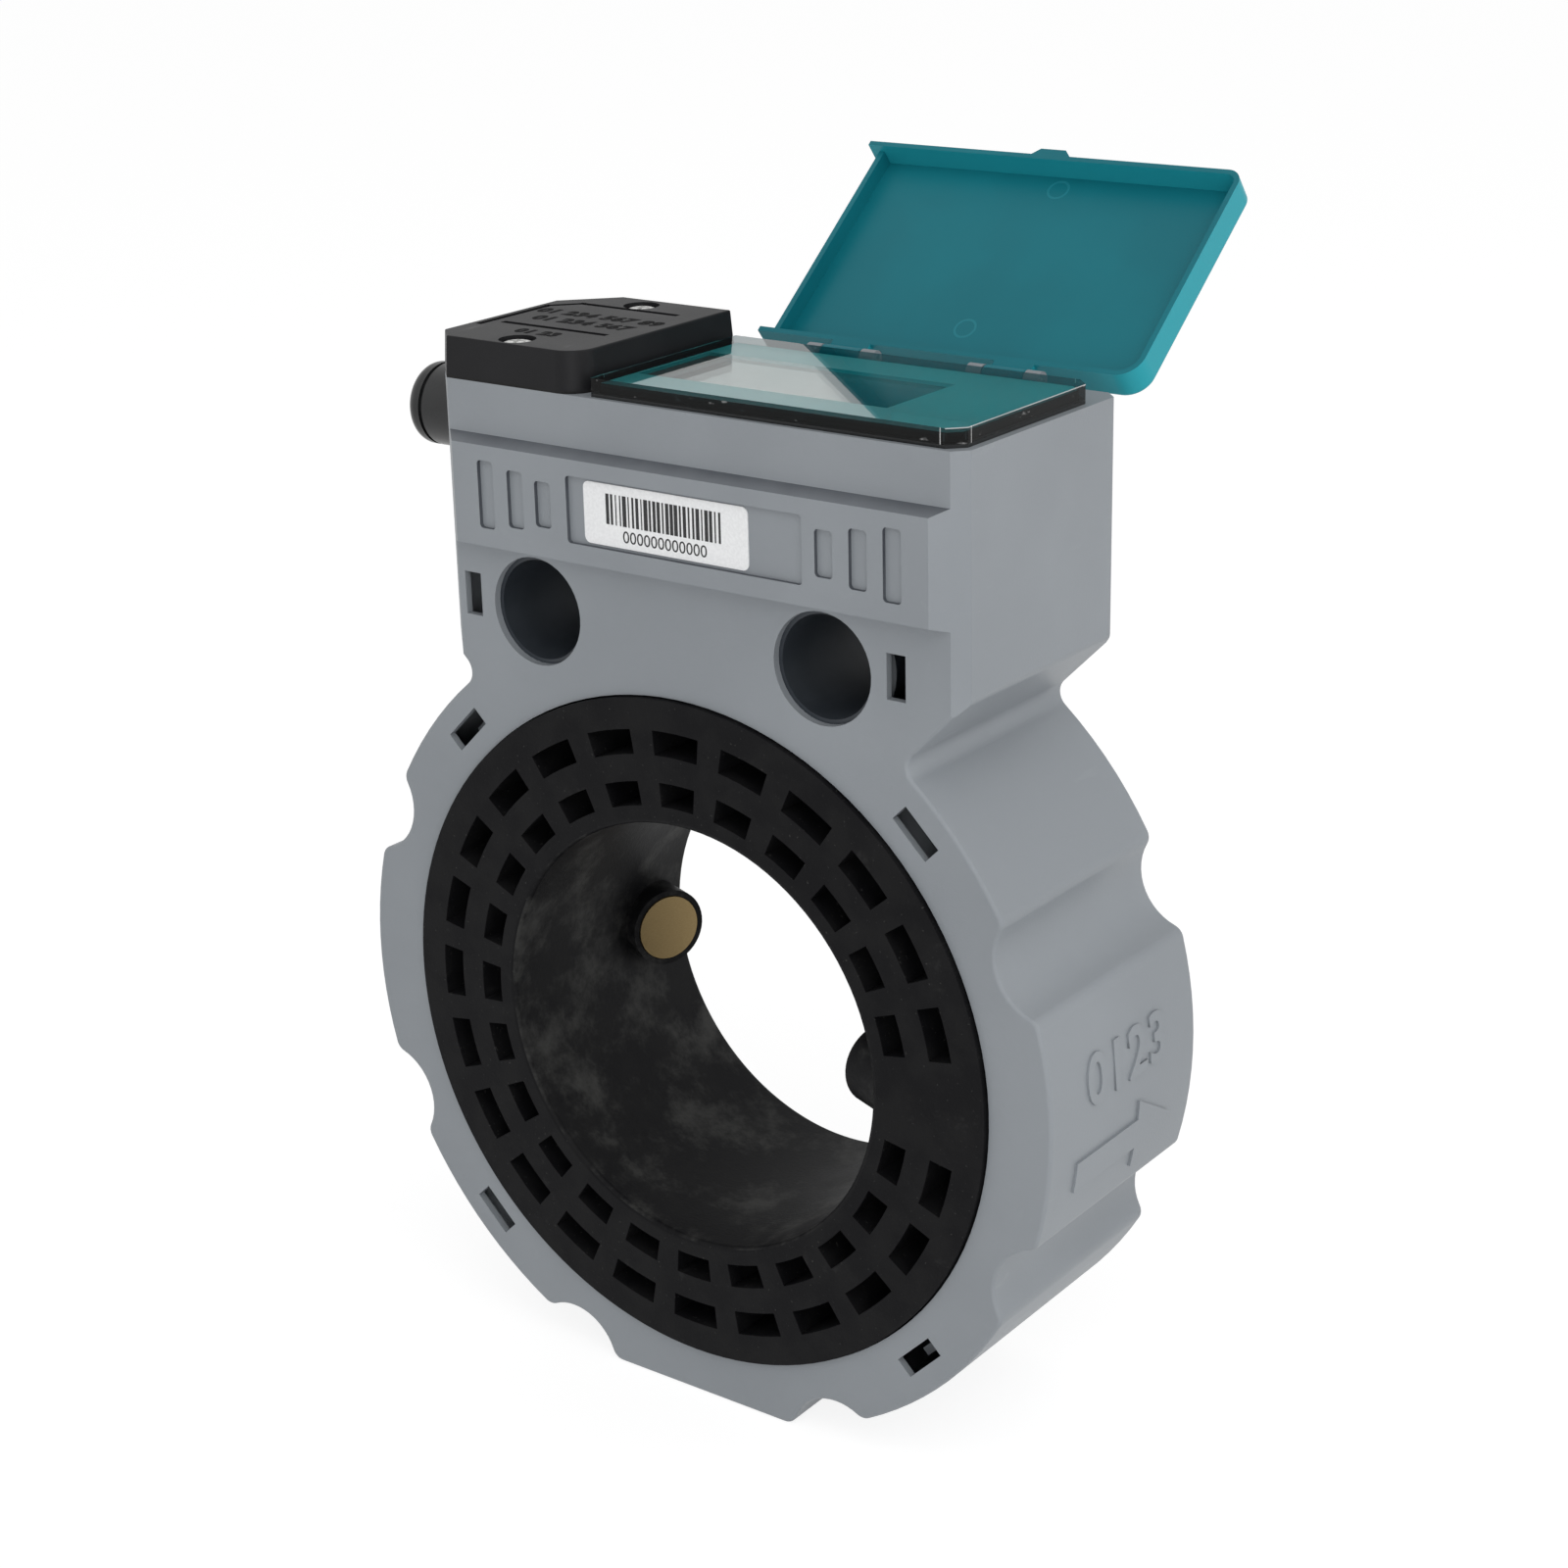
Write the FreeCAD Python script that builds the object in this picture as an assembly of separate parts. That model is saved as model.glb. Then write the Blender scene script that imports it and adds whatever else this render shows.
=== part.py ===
import FreeCAD, Part
import math
import os

# Ultrasonic flow meter that is clamped between two pipe flanges. Millimetres. The origin is the
# centre of the inlet face of the measuring tube, +Y is the flow direction, +X is right, +Z is up.

# Pipe, flange bolts and measuring tube
bore_diameter = 80.0
face_to_face = 50.0
tube_diameter = 125.6
mouth_rounding = 1.0
bolt_circle_diameter = 160.0
bolt_count = 8
bolt_hole_diameter = 18.0
sleeve_wall = 1.3

# Grille of core-outs in both faces of the measuring tube
window_count = 24
window_depth = 18.0
outer_window_inner_radius = 52.7
outer_window_outer_radius = 57.2
outer_window_half_angle = 5.0
inner_window_inner_radius = 43.4
inner_window_outer_radius = 47.8
inner_window_half_angle = 4.6

# Transducers, which face each other across the bore
path_angle = 21.7
transducer_face_offset = 34.4
transducer_diameter = 13.0
transducer_length = 9.0
transducer_boss_wall = 1.05
face_disc_diameter = 12.6
face_disc_thickness = 0.8
face_disc_proud = 0.2
seal_section = 1.2
lead_channel_diameter = 4.0

# Outside of the two grey shells
body_lip = 1.0
rim_depth = 12.4
scallop_diameter = 19.7
bottom_flat_rise = 3.0
shoulder_radius = 2.5
valley_radius = 3.0
edge_radius = 0.7
neck_valley_x = 45.8
head_left = 53.0
head_right = 58.2
head_rise = 38.3
head_left_chamfer = 4.3
head_right_chamfer = 2.4
head_corner_radius = 2.0
band_height = 10.0
band_step = 0.3
tube_clearance = 0.3
front_wall = 1.4
shell_wall = 2.0
ring_wall = 1.8
collar_height = 3.0
collar_wall = 1.4
sleeve_clearance = 0.1
grey_hole_margin = 0.8

# Raised block on the front, with slots and a label recess
block_height = 2.5
block_length = 20.1
block_bottom_draft = 0.7
block_drop = 9.1
block_top_bevel = 1.3
block_wall = 1.6
recess_depth = 0.8
slot_width = 3.5
slot_corner = 0.7
slots = ((-38.8, 12.1), (-32.1, 10.2), (-25.9, 8.1), (33.1, 8.0), (39.8, 10.1), (46.4, 12.3))
label_recess_left = -20.6
label_recess_right = 28.8
label_recess_height = 11.8
label_width = 34.8
label_height = 10.8
label_centre_x = 0.2
label_thickness = 0.2
label_corner = 1.2

# Snap windows in the front shell and the hooks behind them
snap_long = 9.0
snap_short = 3.7
snap_inset = 6.2
snap_angles = (45.0, 135.0, 225.0, 315.0)
neck_snap_x = 45.3
neck_snap_rise = 15.3
neck_snap_long = 7.9
hook_inset = 0.4
hook_drop = 5.0
hook_thickness = 1.6

# Flow arrow raised on the right lobe
arrow_proud = 0.5
arrow_start = 9.3
arrow_neck = 29.3
arrow_tip = 40.4
arrow_height_middle = -10.0
arrow_shaft_half = 2.8
arrow_head_half = 6.5

# Shelf and top wall of the head
shelf_drop = 27.0
shelf_thickness = 1.6
lead_hole_diameter = 5.0
top_wall = 2.0

# Display: black case, liquid crystal panel, printed overlay and clear cover
cover_side_gap = 2.1
cover_right_margin = 1.4
cover_front_margin = 1.0
cover_back_margin = 6.6
case_flange = 0.6
cover_height = 2.7
cover_wall = 1.0
cover_chamfer = 2.6
case_depth = 15.5
case_wall = 1.6
case_margin = 3.0
case_rim_gap = 0.2
overlay_thickness = 0.6
window_left_margin = 1.9
window_right_margin = 20.6
window_front_margin = 10.4
window_back_margin = 10.0
panel_left_inset = 5.2
panel_right_inset = 0.6
panel_margin_y = 0.8
panel_thickness = 1.1
bezel_wall = 2.0
bezel_stand = 4.5
bezel_lip = 1.0
bezel_leg = 2.0
board_thickness = 1.6
board_drop = 9.5
board_gap = 0.4
processor_side = 10.0
processor_height = 1.2
processor_inset = 18.0
capacitor_diameter = 3.6
capacitor_height = 3.0
capacitor_pitch = 5.0
capacitor_count = 3
connector_width = 5.0
connector_length = 14.0
connector_height = 3.5
connector_inset = 1.0
post_radius = 2.4
post_inset = 5.0
board_screw_diameter = 2.5
board_screw_head_diameter = 4.6
board_screw_head_height = 1.6
board_screw_length = 6.0

# Terminal compartment and its cover
terminal_cover_right = 19.0
terminal_cover_back_margin = 4.4
terminal_cover_height = 7.3
terminal_cover_draft = 0.4
terminal_cover_chamfer = 9.0
terminal_cover_rounding = 0.3
terminal_cover_corner = 5.0
terminal_cover_wall = 1.6
terminal_gasket_thickness = 0.5
terminal_gasket_width = 2.0
cover_screw_x = -35.8
cover_screw_front_inset = 4.4
cover_screw_back_inset = 5.2
cover_screw_diameter = 3.0
cover_screw_head_diameter = 5.4
cover_screw_head_height = 2.0
cover_screw_sink = 0.3
cover_screw_recess_gap = 0.6
cover_screw_length = 12.0
screw_boss_diameter = 8.6
screw_fit = 0.15
engraving_depth = 0.5
engraving_width = 1.4
engraving_side_inset = 2.4
engraving_front_inset = 11.6
engraving_back_inset = 9.2
engraving_right_inset = 6.0
engraving_chamfer = 4.4
engraved_bar_inset = 14.6
engraved_bar_start = 3.2
battery_diameter = 14.5
battery_length = 34.0
battery_cap_diameter = 6.0
battery_cap_height = 0.9
battery_gap = 0.6
cradle_wall = 1.2
terminal_ways = 5
terminal_pitch = 5.0
terminal_depth = 9.0
terminal_height = 10.0
terminal_gap = 2.0
terminal_screw_diameter = 3.4
terminal_screw_depth = 3.0
wire_entry_width = 3.2
wire_entry_height = 3.5
wire_entry_depth = 3.0
wire_entry_rise = 1.5

# Cable gland on the left
gland_drop = 11.9
gland_thread_diameter = 10.0
gland_cable_diameter = 5.0
gland_flange_width = 13.6
gland_flange_thickness = 4.5
gland_nut_diameter = 15.3
gland_nut_length = 16.5
gland_nut_gap = 1.0
gland_nut_wall = 2.0
gland_thread_gap = 0.05
gland_stem_end = 1.0
gland_dome_radius = 2.4
gland_groove = 0.5
gland_groove_width = 0.8
gland_groove_inset = 3.4
gland_mouth_diameter = 8.0
gland_seal_length = 7.0
gland_locknut_width = 14.0
gland_locknut_thickness = 3.0
gland_hole_clearance = 0.1

# Hinged lid. Drawn closed, and then turned open about the hinge axis
lid_side_reach = 1.3
lid_front_reach = 0.3
lid_back_margin = 1.4
lid_height = 5.86
lid_gap = 0.3
lid_wall = 1.0
lid_plate = 1.3
lid_side_gap = 0.6
lid_side_wall = 1.1
lid_side_short = 1.5
lid_front_corner = 3.0
lid_back_corner = 4.5
lid_top_rounding = 0.9
lid_open_angle = 141.33
hinge_reach = 1.8
hinge_rise = 0.1
hinge_pin_diameter = 1.6
hinge_running_gap = 0.05
knuckle_radius = 1.55
knuckle_length = 8.0
knuckle_starts = (-3.5, 30.5)
knuckle_side_gap = 0.3
lug_length = 3.0
tab_left = 15.0
tab_right = 23.0
tab_proud = 1.4
tab_height = 2.6

# Worked out from the sizes above
bore_radius = bore_diameter / 2
tube_radius = tube_diameter / 2
bolt_circle_radius = bolt_circle_diameter / 2
bolt_step = 360.0 / bolt_count
bolt_hole_radius = bolt_hole_diameter / 2
sleeve_radius = bolt_hole_radius + sleeve_wall
rim_radius = tube_radius + rim_depth
bottom_flat_height = rim_radius - bottom_flat_rise
scallop_radius = scallop_diameter / 2
front_y = body_lip
back_y = face_to_face - body_lip
parting_y = front_y + front_wall
neck_valley_z = math.sqrt(rim_radius ** 2 - neck_valley_x ** 2)
neck_slope_base = neck_valley_z - neck_valley_x
slope_start = neck_valley_z + valley_radius / 2
snap_radius = rim_radius - snap_inset
neck_snap_z = neck_valley_z + neck_snap_rise
head_top = rim_radius + head_rise
band_bottom = head_top - band_height
shelf_height = head_top - shelf_drop
block_top = head_top - block_drop
block_bottom = block_top - block_length
block_left = -head_left + head_left_chamfer
block_right = head_right - head_right_chamfer
recess_middle = (block_bottom + block_top) / 2
ring_hole_radius = tube_radius + tube_clearance
cover_left = terminal_cover_right - cover_side_gap
cover_right = head_right - cover_right_margin
cover_front = front_y + cover_front_margin
cover_back = back_y - cover_back_margin
cover_bottom = head_top + case_flange
cover_top = cover_bottom + cover_height
overlay_top = cover_top - cover_wall
overlay_bottom = overlay_top - overlay_thickness
case_left = cover_left - case_margin
case_right = cover_right - case_margin
case_front = cover_front + case_margin
case_back = cover_back - case_margin
case_floor = head_top - case_depth
overlay_window_left = cover_left - window_left_margin
overlay_window_right = cover_right - window_right_margin
overlay_window_front = cover_front + window_front_margin
overlay_window_back = cover_back - window_back_margin
panel_left = overlay_window_left - panel_left_inset
panel_right = overlay_window_right - panel_right_inset
board_top = head_top - board_drop
gasket_top = head_top + terminal_gasket_thickness
terminal_cover_top = head_top + terminal_cover_height
terminal_cover_back = back_y - terminal_cover_back_margin
cover_screw_front = front_y + cover_screw_front_inset
cover_screw_back = terminal_cover_back - cover_screw_back_inset
cover_screw_seat = terminal_cover_top - cover_screw_sink - cover_screw_head_height
gland_height = head_top - gland_drop
gland_wall = -head_left + band_step + shell_wall
gland_inner_end = gland_wall + gland_locknut_thickness + gland_stem_end
gland_collar_end = -head_left - gland_flange_thickness - gland_nut_length / 2
lid_left = terminal_cover_right + lid_side_reach
lid_side_left = terminal_cover_right - lid_side_gap
lid_front = front_y - lid_front_reach
lid_back = back_y - lid_back_margin
lid_bottom = head_top + lid_gap
lid_top = lid_bottom + lid_height
hinge_axis_y = back_y + hinge_reach
hinge_axis_z = head_top + hinge_rise
flow_middle = face_to_face / 2


def vec(x, y, z):
    return FreeCAD.Vector(x, y, z)


along_x = vec(1, 0, 0)
along_y = vec(0, 1, 0)
along_z = vec(0, 0, 1)


def box(x0, x1, y0, y1, z0, z1):
    return Part.makeBox(x1 - x0, y1 - y0, z1 - z0, vec(x0, y0, z0))


def round_y(x, z, radius, y0, y1):
    return Part.makeCylinder(radius, y1 - y0, vec(x, y0, z), along_y)


def round_z(x, y, radius, z0, z1):
    return Part.makeCylinder(radius, z1 - z0, vec(x, y, z0), along_z)


def round_x(y, z, radius, x0, x1):
    return Part.makeCylinder(radius, x1 - x0, vec(x0, y, z), along_x)


def outline_face(points):
    return Part.Face(Part.makePolygon(points + points[:1]))


def prism_y(points, y0, y1):
    """Outline of (x, z) points pushed along Y."""
    return outline_face([vec(x, y0, z) for x, z in points]).extrude(vec(0, y1 - y0, 0))


def prism_z(points, z0, z1):
    """Outline of (x, y) points pushed along Z."""
    return outline_face([vec(x, y, z0) for x, y in points]).extrude(vec(0, 0, z1 - z0))


def prism_x(points, x0, x1):
    """Outline of (y, z) points pushed along X."""
    return outline_face([vec(x0, y, z) for y, z in points]).extrude(vec(x1 - x0, 0, 0))


def round_edges(shape, radius, wanted):
    """Fillet of the edges that the test picks."""
    return shape.makeFillet(radius, [edge for edge in shape.Edges if wanted(edge)])


def is_along(edge, axis):
    if edge.Curve.TypeId != "Part::GeomLine":
        return False
    return abs(edge.tangentAt(edge.FirstParameter).dot(axis)) > 0.9999


def stands_at(edge, x, z):
    """Edge along Y through the point (x, z)."""
    middle = edge.CenterOfMass
    return is_along(edge, along_y) and abs(middle.x - x) < 0.1 and abs(middle.z - z) < 0.1


def rounded_box(x0, x1, y0, y1, z0, z1, radius, axis):
    """Box with the four edges along one axis rounded."""
    return round_edges(box(x0, x1, y0, y1, z0, z1), radius, lambda edge: is_along(edge, axis))


def bolt_places(first, count):
    """Centres on the bolt circle, counted in bolt steps from the top."""
    for number in range(count):
        angle = math.radians((first + number) * bolt_step)
        yield bolt_circle_radius * math.sin(angle), bolt_circle_radius * math.cos(angle)


# The shells straddle the top pair of bolts and are scalloped for the others
top_bolts = list(bolt_places(-0.5, 2))
side_bolts = list(bolt_places(1.5, bolt_count - 2))


def head_outline(inset, left, right, top):
    slope = neck_slope_base + inset * math.sqrt(2)
    left_x = left - inset
    right_x = right - inset
    inner = neck_valley_x / 2
    return [(-left_x, top), (right_x, top), (right_x, right_x + slope), (inner, inner + slope),
            (-inner, inner + slope), (-left_x, left_x + slope)]


def body_prism(y0, y1, inset, with_rounding):
    """The outline of the shells, pushed along Y, or the cavity at an inset from it."""
    ring = round_y(0, 0, rim_radius - inset, y0, y1)
    top = head_top if inset == 0 else head_top - top_wall
    left = head_left - band_step
    head = prism_y(head_outline(inset, left, head_right, top), y0, y1)
    cuts = [round_y(x, z, scallop_radius + inset, y0, y1) for x, z in side_bolts]
    cuts.append(box(-rim_radius, rim_radius, y0, y1, -rim_radius, -bottom_flat_height + inset))
    body = ring.fuse(head).cut(cuts).removeSplitter()
    if with_rounding:
        highest_scallop = max(z for x, z in side_bolts) + scallop_radius
        body = round_edges(body, shoulder_radius, lambda edge: (is_along(edge, along_y)
                                                                and edge.CenterOfMass.z < highest_scallop))
        for x in (-neck_valley_x, neck_valley_x):
            body = round_edges(body, valley_radius, lambda edge: stands_at(edge, x, neck_valley_z))
        for x in (-left, head_right):
            body = round_edges(body, head_corner_radius,
                               lambda edge: stands_at(edge, x, abs(x) + neck_slope_base))
    return body


def head_band(y0, y1):
    """The left side of the head stands out a little above the gland."""
    return box(-head_left, 0, y0, y1, band_bottom, head_top)


def head_corner_cuts(inset):
    """The head's upright corners are cut off at 45 degrees, and the cavity's at an inset from them."""
    cuts = []
    for x, inward, chamfer in ((-head_left, 1, head_left_chamfer), (head_right, -1, head_right_chamfer)):
        for y, towards in ((front_y, 1), (back_y, -1)):
            reach = chamfer + inset * math.sqrt(2) + 1
            points = [(x - inward, y - towards), (x + inward * reach, y - towards),
                      (x - inward, y + towards * reach)]
            cuts.append(prism_z(points, slope_start, head_top + 1))
    return cuts


def snap_places():
    """Centre, turn about Y, length and width of each snap window."""
    for angle in snap_angles:
        turn = math.radians(angle)
        yield snap_radius * math.sin(turn), snap_radius * math.cos(turn), angle, snap_long
    for side in (-1, 1):
        yield side * neck_snap_x, neck_snap_z, 90.0, neck_snap_long


def snap_block(x, z, angle, length, width, y0, y1):
    block = box(-length / 2, length / 2, y0, y1, -width / 2, width / 2)
    block.rotate(vec(0, 0, 0), along_y, angle)
    block.translate(vec(x, 0, z))
    return block


def raised_block():
    """Frustum that stands on the front of the head: 45 degree ends and a bevelled top."""
    face_y = front_y - block_height
    back = [vec(block_left, front_y, block_bottom), vec(block_right, front_y, block_bottom),
            vec(block_right, front_y, block_top), vec(block_left, front_y, block_top)]
    low = block_bottom + block_bottom_draft
    high = block_top - block_top_bevel
    face = [vec(block_left + block_height, face_y, low), vec(block_right - block_height, face_y, low),
            vec(block_right - block_height, face_y, high), vec(block_left + block_height, face_y, high)]
    wires = [Part.makePolygon(points + points[:1]) for points in (back, face)]
    return Part.makeLoft(wires, True, True)


def block_recesses():
    """Slots left and right, and the shallow bed of the label."""
    face_y = front_y - block_height
    cuts = []
    for x, height in slots:
        cuts.append(rounded_box(x - slot_width / 2, x + slot_width / 2, face_y - 1, face_y + recess_depth,
                                recess_middle - height / 2, recess_middle + height / 2, slot_corner, along_y))
    cuts.append(rounded_box(label_recess_left, label_recess_right, face_y - 1, face_y + recess_depth,
                            recess_middle - label_recess_height / 2, recess_middle + label_recess_height / 2,
                            slot_corner, along_y))
    return cuts


def is_rim_edge(edge, y):
    """Edges of the round part's outline in the plane at y, up to the head's sloping underside."""
    flat = edge.BoundBox.YMax - edge.BoundBox.YMin < 0.01 and abs(edge.CenterOfMass.y - y) < 0.01
    return flat and edge.BoundBox.ZMax < slope_start


def sleeve_collars(y0, y1):
    """Rings inside the shells that centre the ends of the bolt sleeves."""
    return [round_y(x, z, sleeve_radius + sleeve_clearance + collar_wall, y0, y1) for x, z in top_bolts]


def front_shell():
    shell = body_prism(front_y, parting_y, 0, True)
    shell = round_edges(shell, edge_radius, lambda edge: is_rim_edge(edge, front_y))
    shell = shell.fuse(head_band(front_y, parting_y)).cut(head_corner_cuts(0)).removeSplitter()
    shell = shell.cut(round_y(0, 0, ring_hole_radius, front_y - 1, parting_y + 1))
    shell = shell.fuse(raised_block())
    shell = shell.fuse(sleeve_collars(parting_y, parting_y + collar_height))
    pocket = box(block_left + block_height + block_wall, block_right - block_height - block_wall,
                 front_y - block_height + recess_depth + block_wall, parting_y + 1,
                 block_bottom + block_bottom_draft + block_wall, block_top - block_top_bevel - block_wall)
    cuts = [pocket]
    cuts += [round_y(x, z, bolt_hole_radius + grey_hole_margin, front_y - 1, parting_y + 1)
             for x, z in top_bolts]
    cuts += [round_y(x, z, sleeve_radius + sleeve_clearance, parting_y, parting_y + collar_height + 1)
             for x, z in top_bolts]
    cuts += [snap_block(x, z, angle, length, snap_short, front_y - 1, parting_y + 1)
             for x, z, angle, length in snap_places()]
    cuts += block_recesses()
    return shell.cut(cuts).removeSplitter()


def flow_arrow():
    """Arrow raised on the right lobe, bounded by the curve of the rim."""
    low_shaft = arrow_height_middle - arrow_shaft_half
    high_shaft = arrow_height_middle + arrow_shaft_half
    points = [(arrow_start, low_shaft), (arrow_neck, low_shaft),
              (arrow_neck, arrow_height_middle - arrow_head_half), (arrow_tip, arrow_height_middle),
              (arrow_neck, arrow_height_middle + arrow_head_half), (arrow_neck, high_shaft),
              (arrow_start, high_shaft)]
    inside = rim_radius - shell_wall
    face = outline_face([vec(inside - 2, y, z) for y, z in points])
    blank = face.extrude(vec(rim_radius - inside + 5, 0, 0))
    outer = round_y(0, 0, rim_radius + arrow_proud, front_y, back_y)
    inner = round_y(0, 0, rim_radius - shell_wall / 2, front_y - 1, back_y + 1)
    return blank.common(outer).cut(inner)


def shell_cavity():
    """The room inside the rear shell, round the tube and up into the head."""
    cavity = body_prism(parting_y - 1, back_y - shell_wall, shell_wall, False)
    inner_ring = round_y(0, 0, ring_hole_radius + ring_wall, parting_y - 1, back_y)
    shelf = box(-head_left, head_right, parting_y, back_y, shelf_height, shelf_height + shelf_thickness)
    leads = [round_z(side * (neck_valley_x - 3), flow_middle + 10, lead_hole_diameter / 2,
                     shelf_height - 1, shelf_height + shelf_thickness + 1) for side in (-1, 1)]
    return cavity.cut([inner_ring, shelf.cut(leads)] + head_corner_cuts(shell_wall))


def snap_hooks():
    """Tongues that stand up from the back wall behind the snap windows."""
    hooks = []
    for x, z, angle, length in snap_places():
        room = length - 2 * hook_inset
        hooks.append(snap_block(x, z, angle, room, hook_thickness, parting_y + hook_drop, back_y - shell_wall))
    return hooks


def hinge_lugs():
    """Pairs of eyes on the back of the head that hold the hinge pins."""
    lugs = []
    for start in knuckle_starts:
        for x0 in (start - knuckle_side_gap - lug_length, start + knuckle_length + knuckle_side_gap):
            eye = round_x(hinge_axis_y, hinge_axis_z, knuckle_radius, x0, x0 + lug_length)
            web_low = hinge_axis_z - 3 * knuckle_radius
            web = prism_x([(back_y - 0.5, web_low), (hinge_axis_y + knuckle_radius, hinge_axis_z),
                           (hinge_axis_y - knuckle_radius, hinge_axis_z), (back_y - 0.5, hinge_axis_z - 0.5)],
                          x0, x0 + lug_length)
            lugs.append(eye.fuse(web))
    return lugs


def pin_holes():
    holes = []
    for start in knuckle_starts:
        x0 = start - knuckle_side_gap - lug_length
        x1 = start + knuckle_length + knuckle_side_gap + lug_length
        holes.append(round_x(hinge_axis_y, hinge_axis_z, hinge_pin_diameter / 2, x0 - 1, x1 + 1))
    return holes


def rear_shell():
    shell = body_prism(parting_y, back_y, 0, True)
    shell = round_edges(shell, edge_radius, lambda edge: is_rim_edge(edge, back_y))
    shell = shell.fuse(head_band(parting_y, back_y)).cut(head_corner_cuts(0)).removeSplitter()
    shell = shell.cut(shell_cavity())
    collars = sleeve_collars(back_y - shell_wall - collar_height, back_y - shell_wall)
    shell = shell.fuse(collars + snap_hooks() + hinge_lugs() + [flow_arrow()])
    cuts = [round_y(0, 0, ring_hole_radius, parting_y - 1, back_y + 1)]
    for x, z in top_bolts:
        cuts.append(round_y(x, z, bolt_hole_radius + grey_hole_margin, back_y - shell_wall - 1, back_y + 1))
        cuts.append(round_y(x, z, sleeve_radius + sleeve_clearance,
                            parting_y, back_y - shell_wall))
    cuts.append(box(-case_left - case_rim_gap, case_right + case_rim_gap, case_front - case_rim_gap,
                    case_back + case_rim_gap, head_top - top_wall - 1, head_top + 1))
    cuts.append(terminal_opening())
    cuts.append(round_x(flow_middle, gland_height, gland_thread_diameter / 2 + gland_hole_clearance,
                        -head_left - 1, gland_wall + 1))
    cuts += pin_holes()
    cuts += cover_bosses(cover_screw_diameter / 2, head_top - top_wall - 1, head_top + 1)
    return shell.cut(cuts).removeSplitter()


def sector(inner, outer, angle, half_angle, y0, y1):
    """Core-out between two radii and two angles, measured from the top, pushed along Y."""
    def spot(radius, degrees):
        turn = math.radians(degrees)
        return vec(radius * math.sin(turn), y0, radius * math.cos(turn))
    low = angle - half_angle
    high = angle + half_angle
    edges = [Part.Arc(spot(outer, low), spot(outer, angle), spot(outer, high)).toShape(),
             Part.makeLine(spot(outer, high), spot(inner, high)),
             Part.Arc(spot(inner, high), spot(inner, angle), spot(inner, low)).toShape(),
             Part.makeLine(spot(inner, low), spot(outer, low))]
    return Part.Face(Part.Wire(edges)).extrude(vec(0, y1 - y0, 0))


def grille(y0, y1, closed_angle):
    """Two rings of core-outs. The pair in front of a transducer is left closed."""
    cuts = []
    for number in range(window_count):
        angle = number * 360.0 / window_count
        if abs(angle - closed_angle) > 1:
            cuts.append(sector(outer_window_inner_radius, outer_window_outer_radius, angle,
                               outer_window_half_angle, y0, y1))
            cuts.append(sector(inner_window_inner_radius, inner_window_outer_radius, angle,
                               inner_window_half_angle, y0, y1))
    return cuts


def transducer_frame(side):
    """Middle of the transducer's face and the direction that it looks in. Side is -1 left, 1 right."""
    reach = transducer_face_offset * math.tan(math.radians(path_angle))
    centre = vec(side * transducer_face_offset, flow_middle - side * reach, 0)
    turn = math.radians(path_angle)
    outward = vec(side * math.cos(turn), -side * math.sin(turn), 0)
    return centre, outward


def along_path(side, start, end, radius):
    """Cylinder on the sound path, from one depth behind the transducer's face to another."""
    centre, outward = transducer_frame(side)
    return Part.makeCylinder(radius, end - start, centre + outward * start, outward)


def measuring_tube():
    tube = round_y(0, 0, tube_radius, 0, face_to_face).cut(round_y(0, 0, bore_radius, -1, face_to_face + 1))
    mouths = lambda edge: (edge.BoundBox.DiagonalLength > 1 and edge.Curve.TypeId == "Part::GeomCircle"
                           and abs(edge.Curve.Radius - bore_radius) < 0.01)
    tube = round_edges(tube, mouth_rounding, mouths)
    bosses = [along_path(side, 0.0, transducer_length, transducer_diameter / 2 + transducer_boss_wall)
              for side in (-1, 1)]
    tube = tube.fuse(bosses)
    cuts = grille(-1, window_depth, 90)
    cuts += grille(face_to_face - window_depth, face_to_face + 1, 270)
    for side in (-1, 1):
        centre, outward = transducer_frame(side)
        cuts.append(along_path(side, -5, transducer_length, transducer_diameter / 2))
        back = centre + outward * transducer_length
        start, end = sorted((back.x - side * 2, side * (tube_radius + 1)))
        cuts.append(round_x(back.y, 0, lead_channel_diameter / 2, start, end))
    return tube.cut(cuts)


def transducer(side):
    """Sealed sensor cup with a groove for its seal and a lead stub at the back."""
    cup = along_path(side, face_disc_thickness - face_disc_proud, transducer_length, transducer_diameter / 2)
    groove = along_path(side, transducer_length / 2, transducer_length / 2 + seal_section,
                        transducer_diameter / 2)
    core = along_path(side, 0, transducer_length, transducer_diameter / 2 - seal_section)
    return cup.cut(groove.cut(core))


def transducer_seal(side):
    ring = along_path(side, transducer_length / 2, transducer_length / 2 + seal_section,
                      transducer_diameter / 2)
    return ring.cut(along_path(side, 0, transducer_length, transducer_diameter / 2 - seal_section))


def transducer_face(side):
    return along_path(side, -face_disc_proud, face_disc_thickness - face_disc_proud, face_disc_diameter / 2)


def bolt_sleeve(x, z):
    outer = round_y(x, z, sleeve_radius, parting_y, back_y - shell_wall)
    return outer.cut(round_y(x, z, bolt_hole_radius, parting_y - 1, back_y))


def cover_outline(inset):
    """Plan of the clear display cover, with its right corners cut off."""
    left = -cover_left + inset
    right = cover_right - inset
    front = cover_front + inset
    back = cover_back - inset
    cut = cover_chamfer - inset * (2 - math.sqrt(2))
    return [(left, front), (right - cut, front), (right, front + cut), (right, back - cut),
            (right - cut, back), (left, back)]


def case_posts(z0, z1, radius):
    posts = []
    for x in (-case_left + post_inset, case_right - post_inset):
        for y in (case_front + post_inset, case_back - post_inset):
            posts.append(round_z(x, y, radius, z0, z1))
    return posts


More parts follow.
